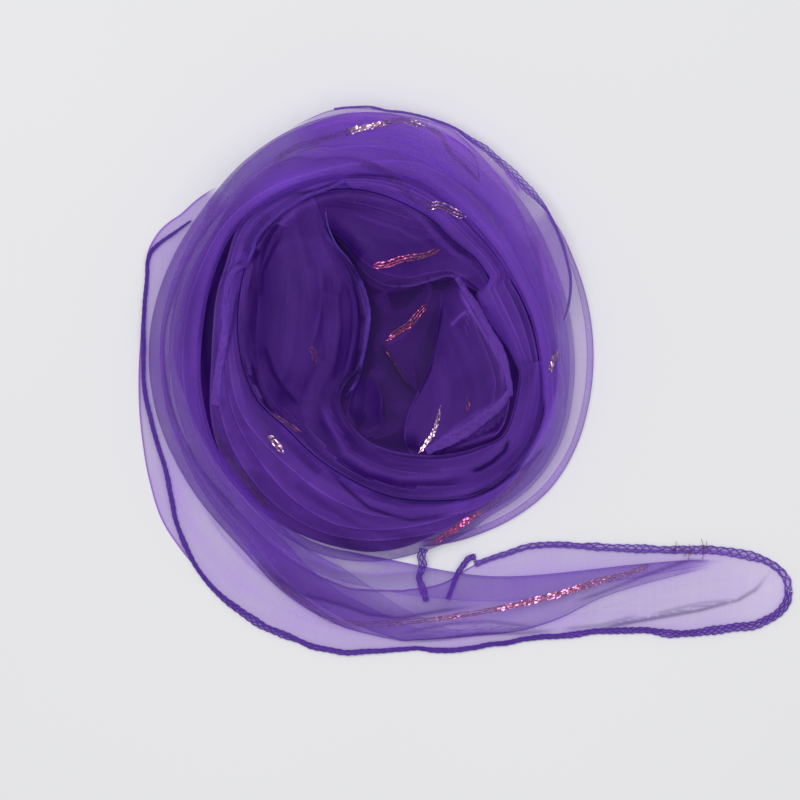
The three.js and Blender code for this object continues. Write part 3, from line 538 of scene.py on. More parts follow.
def evenLine(x, y, step):
    # a smooth line through the given points, in even steps
    run = runOf(x, y)
    fine = readTable({"run": run, "x": x, "y": y}, "run",
                     np.linspace(0, run[-1], max(30, int(run[-1] * 4))))
    run = runOf(fine["x"], fine["y"])
    at = np.linspace(0, run[-1], max(4, int(run[-1] / step)))
    return at, [np.interp(at, run, fine[c]) for c in ("x", "y")]


def strandPoints(line, radius, sides):
    # a round section carried along a line: the line, plus radius times cos and sin across it
    ahead = np.gradient(line, axis=0)
    ahead /= np.linalg.norm(ahead, axis=1)[:, None]
    side = np.cross(ahead, np.array([0.0, 0.0, 1.0]))
    side /= np.maximum(np.linalg.norm(side, axis=1)[:, None], 1e-6)
    up = np.cross(side, ahead)
    angle = np.linspace(0, 2 * np.pi, sides, endpoint=False)
    radius = np.broadcast_to(radius, len(line))[:, None, None]
    return line[:, None, :] + radius * (np.cos(angle)[None, :, None] * side[:, None, :]
                                        + np.sin(angle)[None, :, None] * up[:, None, :])


def strandFaces(count, sides, first):
    # each ring of points joined to the next, the last corner to the first
    i, j = np.meshgrid(np.arange(count - 1), np.arange(sides), indexing="ij")
    a, b = (i * sides + j).ravel(), (i * sides + (j + 1) % sides).ravel()
    return first + np.stack([a, b, b + sides, a + sides], axis=1)


def putStrands(name, lines, radii, sides=6):
    # several strands in one mesh, with the run along each and the corner round it as uv
    points, faces, uv, first = [], [], [], 0
    for line, radius in zip(lines, radii):
        ring = strandPoints(line, radius, sides)
        faces.append(strandFaces(len(line), sides, first))
        points.append(ring.reshape(-1, 3))
        run = np.concatenate([[0], np.cumsum(np.linalg.norm(np.diff(line, axis=0), axis=1))])
        uv.append(np.stack(np.broadcast_arrays(run[:, None], np.arange(sides)[None, :] * 1.0),
                           axis=-1).reshape(-1, 2))
        first += len(points[-1])
    return putMesh(name, np.concatenate(points), np.concatenate(faces), np.concatenate(uv))


class Wire:
    # a number that varies over a surface: arithmetic on wires adds Math nodes
    def __init__(self, finish, socket):
        self.finish, self.socket = finish, socket

    def sum(self, operation, first, second=None, clamp=False):
        values = {0: first} if second is None else {0: first, 1: second}
        return self.finish.node("ShaderNodeMath", {"operation": operation, "use_clamp": clamp}, values)

    def __add__(self, other):
        return self.sum("ADD", self, other)

    def __radd__(self, other):
        return self.sum("ADD", other, self)

    def __sub__(self, other):
        return self.sum("SUBTRACT", self, other)

    def __rsub__(self, other):
        return self.sum("SUBTRACT", other, self)

    def __mul__(self, other):
        return self.sum("MULTIPLY", self, other)

    def __rmul__(self, other):
        return self.sum("MULTIPLY", other, self)

    def __truediv__(self, other):
        return self.sum("DIVIDE", self, other)

    def __pow__(self, other):
        return self.sum("POWER", self, other)

    def sine(self):
        return self.sum("SINE", self)

    def power(self):
        # e to the wire
        return self.sum("EXPONENT", self)

    def size(self):
        # without its sign
        return self.sum("ABSOLUTE", self)

    def held(self):
        # kept from 0 to 1
        return self.sum("ADD", self, 0.0, clamp=True)


class Finish:
    # a material under construction
    def __init__(self, name):
        self.material = bpy.data.materials.new(name)
        self.material.use_nodes = True
        self.tree = self.material.node_tree
        self.tree.nodes.clear()

    def node(self, kind, settings=None, values=None, out=0):
        # a node of any kind: its settings first, then values or links for its sockets
        made = self.tree.nodes.new(kind)
        for title, setting in (settings or {}).items():
            setattr(made, title, setting)
        for title, value in (values or {}).items():
            socket = made.inputs[title]
            if isinstance(value, Wire):
                self.tree.links.new(value.socket, socket)
            else:
                socket.default_value = value
        return Wire(self, made.outputs[out])

    def finished(self, shader):
        output = self.tree.nodes.new("ShaderNodeOutputMaterial")
        self.tree.links.new(shader.socket, output.inputs["Surface"])
        return self.material


def sheerCloth(name, look):
    # organza: the share covered by thread mixes cloth with nothing, and half of the cloth lets light
    # through; tone goes from the deep colour to the bright one, with painted highlights along folds and
    # creases, and dark creases (partly denser cloth, partly painted shade) and the painted shade on their
    # shaded sides go on to a third colour
    f = Finish(name)
    uv = f.node("ShaderNodeUVMap", {"uv_map": "cloth"})

    def read(title):
        return f.node("ShaderNodeAttribute", {"attribute_name": title}, out="Fac")

    def streaks(along, across, detail):
        spot = f.node("ShaderNodeMapping", {}, {"Vector": uv, "Scale": (along, across, 1)})
        return f.node("ShaderNodeTexNoise", {"noise_dimensions": "2D"},
                      {"Vector": spot, "Scale": 1.0, "Detail": detail, "Roughness": 0.55}) - 0.5

    warp = streaks(18, 1500, 1.0)                 # threads that run with the scarf
    weft = streaks(1300, 30, 1.0)                 # threads across it
    band = streaks(9, 130, 2.0)                   # long bands pulled tight or left slack in cover and bump, and in tone a painted sheen of lighter and darker streaks
    cloud = streaks(35, 55, 1.0)
    # foldTone lightens each fold line, a painted highlight, and darkens it where foldTone is negative; the
    # extra cover there is the doubled cloth
    foldLine = (read("foldGap") ** 2 * -1.8).power()
    gap = read("creaseGap")
    # a light crease edge is a painted highlight; a dark one is partly denser cloth and partly painted shade
    crease = (gap ** 2 * -1.3).power() * read("edge")
    # painted shade on the left side of each crease
    shadow = (gap * 1.2 + 0.5).held() * (gap.size() * -0.2).power() * read("shade")
    tone = look["tone"] + band * look["band"] + cloud * 0.4 + warp * 0.12 + crease * 0.9 - shadow * 0.9
    tone = (tone + foldLine * look["foldTone"] + read("glow")).held()
    # dark creases and the painted shade beside them go on to the shaded colour
    dark = (shadow * 0.55 - crease * 0.9).held()
    color = f.node("ShaderNodeMix", {"data_type": "RGBA"},
                   {0: tone, 6: (*look["deep"], 1), 7: (*look["bright"], 1)}, out=2)
    color = f.node("ShaderNodeMix", {"data_type": "RGBA"}, {0: dark, 6: color, 7: (*look["shaded"], 1)},
                   out=2)
    coverage = look["coverage"] + (warp + weft) * look["streak"] + (band + cloud) * look["patch"]
    coverage = coverage + foldLine * look["foldGain"] + crease.size() * look["creaseGain"] + shadow * 0.35
    coverage = coverage.held() * read("weave")
    bump = f.node("ShaderNodeBump", {},
                  {"Strength": 0.2, "Distance": 0.0004,
                   "Height": (warp + weft) * 0.5 + band * 2.0 + crease * 1.5})
    front = f.node("ShaderNodeBsdfPrincipled", {},
                   {
                       "Base Color": color, "Roughness": look["roughness"], "Normal": bump,
                       "Specular IOR Level": look["specular"], "Sheen Weight": look["sheen"],
                       "Sheen Roughness": 0.45, "Sheen Tint": (*look["sheenTint"], 1)
                   })
    deepGlow = f.node("ShaderNodeBsdfTranslucent", {}, {"Color": (*look["deep"], 1)})
    brightGlow = f.node("ShaderNodeBsdfTranslucent", {}, {"Color": (*look["bright"], 1)})
    through = f.node("ShaderNodeMixShader", {}, {0: (tone - dark).held(), 1: deepGlow, 2: brightGlow})
    cloth = f.node("ShaderNodeMixShader", {}, {0: look["through"], 1: front, 2: through})
    clear = f.node("ShaderNodeBsdfTransparent")
    return f.finished(f.node("ShaderNodeMixShader", {}, {0: coverage, 1: clear, 2: cloth}))


def threadFinish(name, look):
    # twisted thread: fine turns along the strand, a little light through it; each turn is lighter where it
    # is raised, a painted highlight, with random tone besides
    f = Finish(name)
    uv = f.node("ShaderNodeUVMap", {"uv_map": "cloth"})
    run = f.node("ShaderNodeSeparateXYZ", {}, {"Vector": uv})
    rounds = Wire(f, run.socket.node.outputs[1])
    ply = (run * 9000 + rounds * 1047).sine() * 0.5 + 0.5
    spot = f.node("ShaderNodeTexCoord", {}, out="Object")
    noise = f.node("ShaderNodeTexNoise", {}, {"Vector": spot, "Scale": 260.0, "Detail": 2.0})
    plyHighlightAndTone = (ply * 0.5 + noise * 0.6 - 0.1).held()
    color = f.node("ShaderNodeMix", {"data_type": "RGBA"},
                   {0: plyHighlightAndTone, 6: (*look["deep"], 1), 7: (*look["bright"], 1)}, out=2)
    bump = f.node("ShaderNodeBump", {}, {"Strength": 0.5, "Distance": 0.0003, "Height": ply})
    front = f.node("ShaderNodeBsdfPrincipled", {},
                   {
                       "Base Color": color, "Roughness": 0.4, "Normal": bump, "Specular IOR Level": 0.5,
                       "Sheen Weight": 0.08, "Sheen Roughness": 0.4, "Sheen Tint": (0.75, 0.6, 1, 1)
                   })
    through = f.node("ShaderNodeBsdfTranslucent", {}, {"Color": (*look["bright"], 1)})
    return f.finished(f.node("ShaderNodeMixShader", {}, {0: look["through"], 1: front, 2: through}))


def filmFinish(name, look):
    # flat metallic yarn: each crinkled facet has its own tone, from dull to mirror pink; the bright pink is
    # partly the facets' reflection of the lamps and partly a painted glint
    f = Finish(name)
    tone = f.node("ShaderNodeAttribute", {"attribute_name": "tone"}, out="Fac")
    color = f.node("ShaderNodeMix", {"data_type": "RGBA"},
                   {0: tone ** 1.5, 6: (*look["dull"], 1), 7: (*look["bright"], 1)}, out=2)
    shine = f.node("ShaderNodeBsdfPrincipled", {},
                   {"Base Color": color, "Metallic": (tone * 1.6).held(), "Roughness": 0.5 - tone * 0.36})
    clear = f.node("ShaderNodeBsdfTransparent")
    return f.finished(f.node("ShaderNodeMixShader", {}, {0: (0.55 + tone).held(), 1: clear, 2: shine}))


violet = {
    "coverage": 0.26, "streak": 0.06, "patch": 0.14, "band": 0.6, "foldGain": 0.25, "foldTone": 0.25,
    "tone": 0.62, "creaseGain": 0.3, "through": 0.5, "deep": (0.070, 0.006, 0.27),
    "bright": (0.39, 0.145, 0.86), "shaded": (0.022, 0.002, 0.09), "roughness": 0.5, "specular": 0.15,
    "sheen": 0.06, "sheenTint": (0.8, 0.72, 1.0),
}
organza = sheerCloth("violetOrganza", {**violet, "deep": (0.084, 0.009, 0.30)})
# the bud: more cover for its extra layers, and a lower tone that is painted shade for its shadowed hollow
organzaBudShaded = sheerCloth("budOrganza", {**violet, "coverage": 0.42, "tone": 0.26, "foldTone": 0.45})
# the single layers: more light through them is the cloth's own, while their higher tone and brighter colour
# are painted light against the shade on the table beneath
organzaSingleLit = sheerCloth("singleOrganza",
                           {**violet, "coverage": 0.35, "band": 0.4, "patch": 0.12,
                            "bright": (0.50, 0.18, 0.95), "tone": 0.7, "through": 0.6, "foldGain": 0.45,
                            "foldTone": -0.1, "creaseGain": 0.6, "shaded": (0.15, 0.035, 0.46)})
# the hidden layers: nearly full cover for their many layers, and darker colours that are painted shade deep
# in the throat
organzaDeepShaded = sheerCloth("deepOrganza",
                         {**violet, "coverage": 0.95, "band": 0.3, "tone": 0.2,
                          "deep": (0.050, 0.005, 0.17), "bright": (0.15, 0.02, 0.42)})
# the throat fold: its low tone is painted shade
organzaThroatShaded = sheerCloth("throatOrganza", {**violet, "coverage": 0.45, "tone": 0.15, "foldTone": 0.4})
hemCloth = sheerCloth("hemCloth", {**violet, "coverage": 0.55, "patch": 0.3, "band": 0.6})
organzaHem = sheerCloth("hemOrganza", {**violet, "coverage": 0.7, "tone": 0.75, "band": 0.7})
hemThread = threadFinish("hemThread",
                         {"deep": (0.15, 0.045, 0.48), "bright": (0.42, 0.21, 0.82), "through": 0.45})
hemDark = threadFinish("hemDark",
                       {"deep": (0.10, 0.025, 0.38), "bright": (0.33, 0.13, 0.76), "through": 0.5})
hemSoft = threadFinish("hemSoft",
                       {"deep": (0.14, 0.04, 0.50), "bright": (0.24, 0.09, 0.70), "through": 0.5})
filmPale = filmFinish("paleFilm", {"dull": (0.06, 0.015, 0.065), "bright": (1.0, 0.62, 0.86)})
filmPink = filmFinish("pinkFilm", {"dull": (0.13, 0.04, 0.12), "bright": (0.95, 0.36, 0.62)})
filmRose = filmFinish("roseFilm", {"dull": (0.12, 0.03, 0.09), "bright": (0.9, 0.16, 0.46)})
print("materials made")


def tailKey(x):
    # the trailing end reads as winding below 0
    return -(np.asarray(x, float) - coilX) / millimetresPerDegree


def gatheredRun():
    # the gathered scarf from the trailing end, round the outer turn, and on round the inner one
    xs = evenKeys(min(gatheredTail["x"]), max(gatheredTail["x"]), 6)[::-1]
    order = {c: v[::-1] for c, v in gatheredTail.items()}
    row = readTable(order, "x", xs)
    foot = np.full(len(xs), 1.5)
    tail = sectionRows(xs, row["lower"], foot, xs, row["upper"], foot, row["crown"] - foot)
    keys, rows = [tailKey(xs)], [tail]
    for table, low, high in ((outerTurn, 3, 326), (innerTurn, 331, 608), (rightHollow, 612, 647)):
        winds = evenKeys(low, high, 4)
        row = readTable(table, "wind", winds)
        if "inner" not in row:
            # the bud's line and a little past it, or before that the bottom of the valley beside it
            row["inner"] = np.where(winds < meeting, readTable(valley, "wind", winds)["distance"] + 0.3,
                                    readTable(budLine, "wind", winds)["distance"] + 1.6)
        keys.append(winds)
        rows.append(coiledRows(winds, row["outer"], row["inner"], row["outerFoot"], row["innerFoot"],
                               crown=row["crown"]))
    return Stretch(np.concatenate(keys), np.concatenate(rows))


gathered = {
    "seed": 21, "alongSteps": 620, "leafSteps": 16, "sway": 0.065, "own": 0.3, "endFade": 12,
    "folds": [
        {"wind": (-89, -70, -50, -30, -9, 20, 60, 95, 130, 160, 185, 215, 250, 285, 320, 350, 385, 420, 476,
                  647),
         "share": (0.3, 0.35, 0.55, 0.6, 0.62, 0.6, 0.7, 0.66, 0.72, 0.8, 0.74, 0.62, 0.66, 0.7, 0.6, 0.66,
                   0.7, 0.6, 0.55, 0.6)},
        {"wind": (-89, 647), "share": (1, 1)},
        {"wind": (-89, -10, 0, 30, 60, 90, 110, 130, 150, 170, 190, 215, 250, 290, 330, 370, 410, 450, 647),
         "share": (0, 0, 0.1, 0.36, 0.44, 0.40, 0.46, 0.38, 0.42, 0.56, 0.6, 0.42, 0.36, 0.44, 0.5, 0.42,
                   0.5, 0.4, 0.4)},
        {"wind": (-89, -75, -50, -22, 6, 25, 50, 80, 120, 160, 200, 240, 280, 320, 360, 400, 450, 647),
         "share": (0.02, 0.03, 0.05, 0.16, 0.8, 0.96, 0.95, 0.93, 0.97, 0.94, 0.97, 0.9, 0.95, 0.92, 0.96,
                   0.93, 0.95, 0.96)},
        {"wind": (-89, 10, 30, 60, 90, 120, 140, 155, 175, 200, 230, 270, 310, 350, 390, 647),
         "share": (0, 0, 0.15, 0.24, 0.2, 0.2, 0.1, 0.07, 0.1, 0.16, 0.16, 0.14, 0.22, 0.28, 0.2, 0.22)},
        {"wind": (-89, -40, -15, 5, 20, 40, 70, 110, 150, 200, 240, 280, 330, 380, 430, 647),
         "share": (0.02, 0.03, 0.1, 0.45, 0.8, 0.84, 0.9, 0.86, 0.92, 0.88, 0.82, 0.88, 0.84, 0.9, 0.86,
                   0.9)},
        {"wind": (-89, 647), "share": (0, 0)},
        {"wind": (-89, 0, 30, 80, 150, 250, 330, 400, 647),
         "share": (0.02, 0.02, 0.3, 0.4, 0.34, 0.3, 0.5, 0.45, 0.5)},
    ],
    "gap": {"wind": (-89, -20, 10, 40, 300, 330, 430, 480, 647),
            "depth": (0.25, 0.35, 0.7, 1.1, 1.1, 1.0, 1.0, 0.8, 0.8)},
    "thin": {"wind": (-89, -15, 20), "density": (0.12, 0.3, 1), "fromLeaf": 2},
    "loose": {"wind": (-89, 0, 60, 130, 150, 172, 200, 240, 290, 320, 345, 500, 540, 575, 610, 647),
              "density": (1, 1, 1, 1.05, 1.15, 1.05, 0.78, 0.76, 0.72, 0.8, 1, 1, 0.86, 0.72, 0.72, 0.72),
              "glow": (0.1, 0.02, 0, 0.1, 0.25, 0.3, 0.32, 0.3, 0.34, 0.22, -0.02, 0, 0.16, 0.3, 0.3, 0.3)},
    "waves": [
        {"long": 75, "wide": 14, "height": 1.2, "drift": 0.6},
        {"long": 42, "wide": 8, "height": 0.55, "drift": -0.5},
        {"long": 90, "wide": 12, "height": 0.6, "sharp": True, "drift": 0.5},
    ],
}
run = gatheredRun()
gatheredCloth = layCloth("gatheredCloth", run, gathered, organza,
                         ("tail_band", "outer_turn_left", "outer_turn_right", "second_turn",
                          "second_turn_top", "second_turn_right"))


def singleRun():
    # the one layer under the trailing end and out past the lower left of the coil, to its hem or fold
    xs = evenKeys(min(trailingSheet["x"]), max(trailingSheet["x"]), 4)[::-1]
    row = readTable({c: v[::-1] for c, v in trailingSheet.items()}, "x", xs)
    low = np.full(len(xs), 0.5)
    tail = sectionRows(xs, row["lower"], low, xs, row["upper"], low, low * 0 + 0.6)
    winds = evenKeys(3, 134, 3)
    row = readTable(lowerSpread, "wind", winds)
    spread = coiledRows(winds, row["edge"], row["inner"], np.full(len(winds), 0.5),
                        np.full(len(winds), 1.2), rise=np.full(len(winds), 1.2))
    return Stretch(np.concatenate([tailKey(xs), winds]), np.concatenate([tail, spread]))


single = {
    "loose": {"wind": (-110, -104, -92, -70, -40, 130, 134), "density": (0.6, 0.66, 0.82, 0.92, 1, 1, 0),
              "glow": (0.25, 0.2, 0.1, 0, 0, 0, 0)},
    "seed": 34, "alongSteps": 460, "leafSteps": 44, "sway": 0.0, "own": 0.25,
    "folds": [{"wind": (-110, 134), "share": (0, 0)}, {"wind": (-110, 134), "share": (1, 1)}],
    "gap": {"wind": (-110, 134), "depth": (0, 0)},
    "waves": [
        {"long": 45, "wide": 16, "height": 0.7, "drift": 0.4},
        {"long": 70, "wide": 5, "height": 0.25, "drift": -0.3},
    ],
}
flatRun = singleRun()
singleCloth = layCloth("singleCloth", flatRun, single, organzaSingleLit,
                       ("tail_sheet", "lower_spread", "left_brim"))


def brimStretch(table):
    # a brim's table to sections every 3 degrees
    winds = evenKeys(min(table["wind"]), max(table["wind"]), 3)
    row = readTable(table, "wind", winds)
    rows = coiledRows(winds, row["outer"], row["inner"], row["outerFoot"], row["innerFoot"],
                      rise=row["rise"])
    return Stretch(winds, rows)


brimWaves = [{"long": 40, "wide": 9, "height": 0.7, "drift": 0.5}, {"long": 60, "wide": 4, "height": 0.3}]
topEdge = {
    "seed": 55, "alongSteps": 200, "leafSteps": 30, "sway": 0.0, "own": 0.2,
    "loose": {"wind": (158, 176, 200, 225, 245, 268), "density": (1, 1.15, 1.1, 1.15, 1.1, 1),
              "glow": (0.1, 0.2, 0.25, 0.2, 0.05, 0)},
    "folds": [{"wind": (158, 268), "share": (0, 0)}, {"wind": (158, 268), "share": (1, 1)},
              {"wind": (158, 186, 204, 222, 240, 268), "share": (0.3, 0.06, 0.05, 0.3, 0.6, 0.7)}],
    "gap": {"wind": (158, 268), "depth": (0.2, 0.2)}, "waves": brimWaves, "endFade": 14,
}
topCloth = layCloth("topCloth", brimStretch(topBrim), topEdge, organzaSingleLit,
                    ("top_brim",))
rightEdge = {
    "seed": 56, "alongSteps": 240, "leafSteps": 26, "sway": 0.0, "own": 0.2,
    "loose": {"wind": (236, 280, 310, 346), "density": (0.8, 0.72, 0.72, 0.9),
              "glow": (0.1, 0.15, 0.15, 0.1)},
    "folds": [{"wind": (236, 346), "share": (1, 1)}, {"wind": (236, 346), "share": (0, 0)},
              {"wind": (236, 262, 300, 346), "share": (0.12, 0.2, 0.16, 0.3)}],
    "gap": {"wind": (236, 346), "depth": (0.2, 0.2)}, "waves": brimWaves, "endFade": 4,
}
rightCloth = layCloth("rightCloth", brimStretch(rightBrim), rightEdge, organzaSingleLit,
                      ("right_brim",))


def budStretch(table):
    # from the line round the bud, less a little overlap, to the inner edge in the table
    winds = evenKeys(min(table["wind"]), max(table["wind"]), 4)
    row = readTable(table, "wind", winds)
    ax, ay = onCoil(winds, readTable(budLine, "wind", winds)["distance"] + 1.2)
    rows = sectionRows(ax, ay, row["outerFoot"], row["x"], row["y"], row["innerFoot"], row["rise"])
    return Stretch(winds, rows)


budWaves = [
    {"long": 60, "wide": 13, "height": 1.5, "drift": 0.5},
    {"long": 45, "wide": 6, "height": 0.6, "drift": -0.5},
    {"long": 80, "wide": 9, "height": 0.5, "sharp": True, "drift": 0.3},
]
petal = {
    "seed": 72, "alongSteps": 300, "leafSteps": 20, "sway": 0.03, "own": 0.3,
    "folds": [
        {"wind": (280, 519), "share": (1, 1)}, {"wind": (280, 519), "share": (0, 0)},
        {"wind": (280, 340, 400, 440, 519), "share": (0.9, 0.92, 0.95, 0.9, 0.95)},
        {"wind": (280, 320, 350, 380, 420, 460, 519), "share": (0.2, 0.16, 0.2, 0.14, 0.13, 0.16, 0.12)},
        {"wind": (280, 340, 400, 440, 480, 519), "share": (0.6, 0.7, 0.6, 0.66, 0.74, 0.7)},
        {"wind": (280, 330, 380, 430, 470, 519), "share": (0.36, 0.42, 0.34, 0.3, 0.38, 0.3)},
    ],
    "gap": {"wind": (280, 330, 519), "depth": (0.8, 1.2, 1.2)}, "waves": budWaves,
    "loose": {"wind": (280, 306, 330, 350, 519), "density": (0.7, 0.75, 0.9, 1, 1),
              "glow": (0.4, 0.35, 0.2, 0.02, 0)},
}
petalCloth = layCloth("petalCloth", budStretch(petalRoll), petal, organzaBudShaded,
                      ("bud_left_petal", "bud_bottom_roll"))
flap = {
    "seed": 83, "alongSteps": 150, "leafSteps": 20, "sway": 0.03, "own": 0.3,
    "folds": [
        {"wind": (512, 608), "share": (1, 1)}, {"wind": (512, 608), "share": (0, 0)},
        {"wind": (512, 560, 608), "share": (0.84, 0.9, 0.8)},
        {"wind": (512, 560, 608), "share": (0.3, 0.22, 0.3)},
    ],
    "gap": {"wind": (512, 608), "depth": (1.1, 0.7)}, "waves": budWaves,
}
flapCloth = layCloth("flapCloth", budStretch(topFlap), flap, organzaBudShaded,
                     ("bud_top_flap",))


def givenStretch(table):
    # sections straight from a table of both edges
    rows = readTable(table, "row", np.linspace(0, max(table["row"]), 25))
    return Stretch(rows["row"],
                   sectionRows(*(rows[c] for c in ("ax", "ay", "az", "bx", "by", "bz", "rise"))))


innerPetal = {
    "seed": 91, "alongSteps": 130, "leafSteps": 22, "sway": 0.02, "own": 0.3,
    "folds": [{"wind": (0, 6), "share": (0, 0)}, {"wind": (0, 6), "share": (1, 1)},
              {"wind": (0, 2, 4, 6), "share": (0.1, 0.2, 0.14, 0.2)}],
    "gap": {"wind": (0, 6), "depth": (1.0, 1.0)}, "waves": budWaves, "endFade": 8,
    "loose": {"wind": (0, 7), "density": (1, 1), "glow": (0.16, 0.1)},
}
innerCloth = layCloth("innerPetalCloth", givenStretch(rightPetal), innerPetal, organzaBudShaded,
                      ("bud_right_petal",))
throat = {
    "seed": 97, "alongSteps": 70, "leafSteps": 22, "sway": 0.02, "own": 0.3,
    "folds": [{"wind": (0, 3), "share": (0, 0)}, {"wind": (0, 3), "share": (1, 1)},
              {"wind": (0, 3), "share": (0.2, 0.1)}],
    "gap": {"wind": (0, 3), "depth": (1.0, 1.0)}, "waves": budWaves, "endFade": 7,
}
throatCloth = layCloth("throatCloth", givenStretch(throatFold), throat, organzaThroatShaded,
                       ("throat_fold",))
print("cloth laid")

heap = {
    "wind": (0, 30, 60, 90, 120, 150, 180, 210, 240, 270, 300, 330, 360),
    "reach": (101, 95, 88, 86, 82, 87, 91, 86, 83, 85, 93, 96, 101),
}
heapInner = {"wind": (meeting, 326, 345, 360), "distance": (85, 89, 98, 101)}     # past the valley's end
heapSlope = {"share": (0, 0.2, 0.42, 0.62, 0.76, 0.84, 0.9, 0.95, 0.985, 1.0),
             "level": (14, 15, 17, 16.5, 14, 12, 9, 6, 3, 0.8)}


def heapMesh(name, material):
    # a mound round the coil's centre: its reach by the angle, its height by the share of the reach
    wind = np.linspace(0, 360, 181)[:-1]
    share = np.concatenate([np.linspace(1.0, 0.8, 40), np.linspace(0.79, 0.0, 60)])
    w, s = np.broadcast_arrays(wind[:, None], share[None, :])
    reach = readTable(heap, "wind", w)["reach"] * s
    layered = 0.9 * np.abs(np.sin(np.pi * 4 * np.clip((1 - s) / 0.2, 0, 1)))
    x, y = onCoil(w, reach + layered + 1.0 * softNoise(w / 14, s * 6, 7) * np.clip(s * 2 - 0.9, 0, 1))
    z = readTable(heapSlope, "share", s)["level"] + 0.9 * softNoise(x / 9, y / 16, 8)
    points = np.stack([x, y, np.maximum(z, 0.2)], axis=-1)
    points = np.concatenate([points, points[:1]], axis=0)
    uv = points[..., :2]
    # fewer layers under the outer turn than inside it
    inner = np.where(w < meeting, readTable(valley, "wind", np.minimum(w, meeting))["distance"],
                     np.interp(w, heapInner["wind"], heapInner["distance"]))
    gapAcross, edge, shade = creaseField(points[..., 0], points[..., 1])
    cloths.append(points.reshape(-1, 3))
    thinning = np.clip(1 - (reach - inner - 2) / 14, 0.12, 1)
    thing = putMesh(name, points, gridFaces(*points.shape[:2], flip=facesUp(points)), uv,
                    {"foldGap": np.full(points.shape[:2], 6.0), "creaseGap": gapAcross, "edge": edge,
                     "shade": shade, "weave": np.append(thinning, thinning[:1], axis=0)})
    return dress(thing, material, ("hidden_layers",))


heapCloth = heapMesh("hiddenLayers", organzaDeepShaded)
print("hidden layers laid")


def overlock(name, x, y, hem, replaced=()):
    # two looping threads cross over a rolled strip: each swings sin(2 pi run / pitch) to the side and
    # cos(2 pi run / pitch) up, half a turn apart, so that they leave an eyelet between crossings
    run, (x, y) = evenLine(x, y, 0.4)
    z = settle(x, y, hem["lift"]) if "height" not in hem else np.interp(run / run[-1], *hem["height"])
    line = np.stack([x, y, z], axis=1)
    ahead = np.gradient(line, axis=0)
    side = np.stack([ahead[:, 1], -ahead[:, 0], 0 * run], axis=1)
    side /= np.linalg.norm(side, axis=1)[:, None]
    line += side * (hem.get("wobble", 0.35) * softNoise(run / 8, 2.5, hem["seed"]))[:, None]
    upward = np.array([0.0, 0.0, 1.0])
    wide = np.interp(run / run[-1], *hem["width"]) * (1 + 0.3 * softNoise(run / 7, 0.5, hem["seed"]))
    slip = 1.3 * softNoise(run / 9, 1.5, hem["seed"] + 1)
    lines = []
    for half in (0, np.pi):
        phase = 2 * np.pi * run / hem["pitch"] + half + slip
        lines.append(line + side * (hem["swing"] * wide * np.sin(phase))[:, None]
                     + upward * (hem["thread"] * (1.3 + 0.8 * np.cos(phase)))[:, None])
    for way in (-1, 1):
        edge = way * wide * (0.92 + 0.1 * np.sin(4 * np.pi * run / hem["pitch"] + slip))
        lines.append(line + side * edge[:, None]
                     + upward * (0.25 + 0.1 * softNoise(run / 4, way, hem["seed"]))[:, None])
    radii = [hem["thread"] * (1 + 0.2 * softNoise(run / 3, k, hem["seed"] + 3)) for k in range(2)]
    radii += [hem["edging"] * (1 + 0.2 * softNoise(run / 3, k, hem["seed"] + 4)) for k in range(2)]
    threads = dress(putStrands(name, lines, radii), hem["yarn"], replaced)
    across = np.linspace(-1, 1, 9)
    strip = line[:, None, :] + side[:, None, :] * (wide[:, None] * across[None, :])[..., None]
    strip[..., 2] += 0.3 * (1 - across**2)[None, :] - 0.1
    strip[..., 2] += hem.get("crinkle", 0.0) * softNoise(run[:, None] / 1.7, across[None, :] * 1.6,
                                                         hem["seed"] + 5)
    turns = (2 * run / hem["pitch"] + slip / np.pi)[:, None]
    hole = np.exp(-(((turns - np.round(turns)) * hem["pitch"] / 2 / 0.9) ** 2)
                  - (across[None, :] / 0.4) ** 2)
    uv = np.stack(np.broadcast_arrays(run[:, None], across[None, :]), axis=-1)
    under = putMesh(name + "Roll", strip, gridFaces(*strip.shape[:2], flip=facesUp(strip)), uv,
                    {"foldGap": np.full(strip.shape[:2], 6.0),
                     "weave": hem["roll"] * (1 - hem["holes"] * hole)})
    dress(under, hem.get("cloth", hemCloth))
    return threads, under


looped = {"pitch": 8.6, "swing": 0.75, "thread": 0.28, "edging": 0.24, "lift": 0.3, "roll": 0.7,
          "holes": 0.9, "width": ((0, 1), (1.55, 1.55)), "yarn": hemThread}
rolled = {"pitch": 6.8, "swing": 0.45, "thread": 0.3, "edging": 0.28, "lift": 0.3, "roll": 1.1,
          "holes": 0.3, "wobble": 0.6, "width": ((0, 1), (1.0, 1.0)), "yarn": hemDark}

# the short end: along the upper edge of the trailing end, from under the band to the tip
endX, endY = np.array(trailingSheet["x"], float), np.array(trailingSheet["upper"], float)
keep = endX > 3
endHem = overlock("endHem", np.append(endX[keep][::-1], 146.6), np.append(endY[keep][::-1], -95.5),
                  {**looped, "seed": 5, "width": ((0, 0.12, 0.2, 0.8, 1), (1.0, 1.1, 1.5, 1.7, 1.5))},
                  ("hem_end",))
# the long edge: from the tip along the lower edge and round the left of the coil
fineWinds = evenKeys(3, 122, 3)
aroundX, aroundY = onCoil(fineWinds, readTable(lowerSpread, "wind", fineWinds)["hem"])
longHem = overlock("longHem", np.concatenate([[146.6], trailingSheet["x"], aroundX]),
                   np.concatenate([[-95.5], trailingSheet["lower"], aroundY]),
                   {**rolled, "seed": 6,
                    "width": ((0, 0.12, 0.25, 0.3, 0.45, 0.55, 0.62, 0.7, 0.96, 1),
                              (1.6, 1.5, 1.0, 0.8, 0.9, 1.4, 0.8, 0.9, 0.65, 0.15))},
                   ("hem_tail", "hem_spread"))
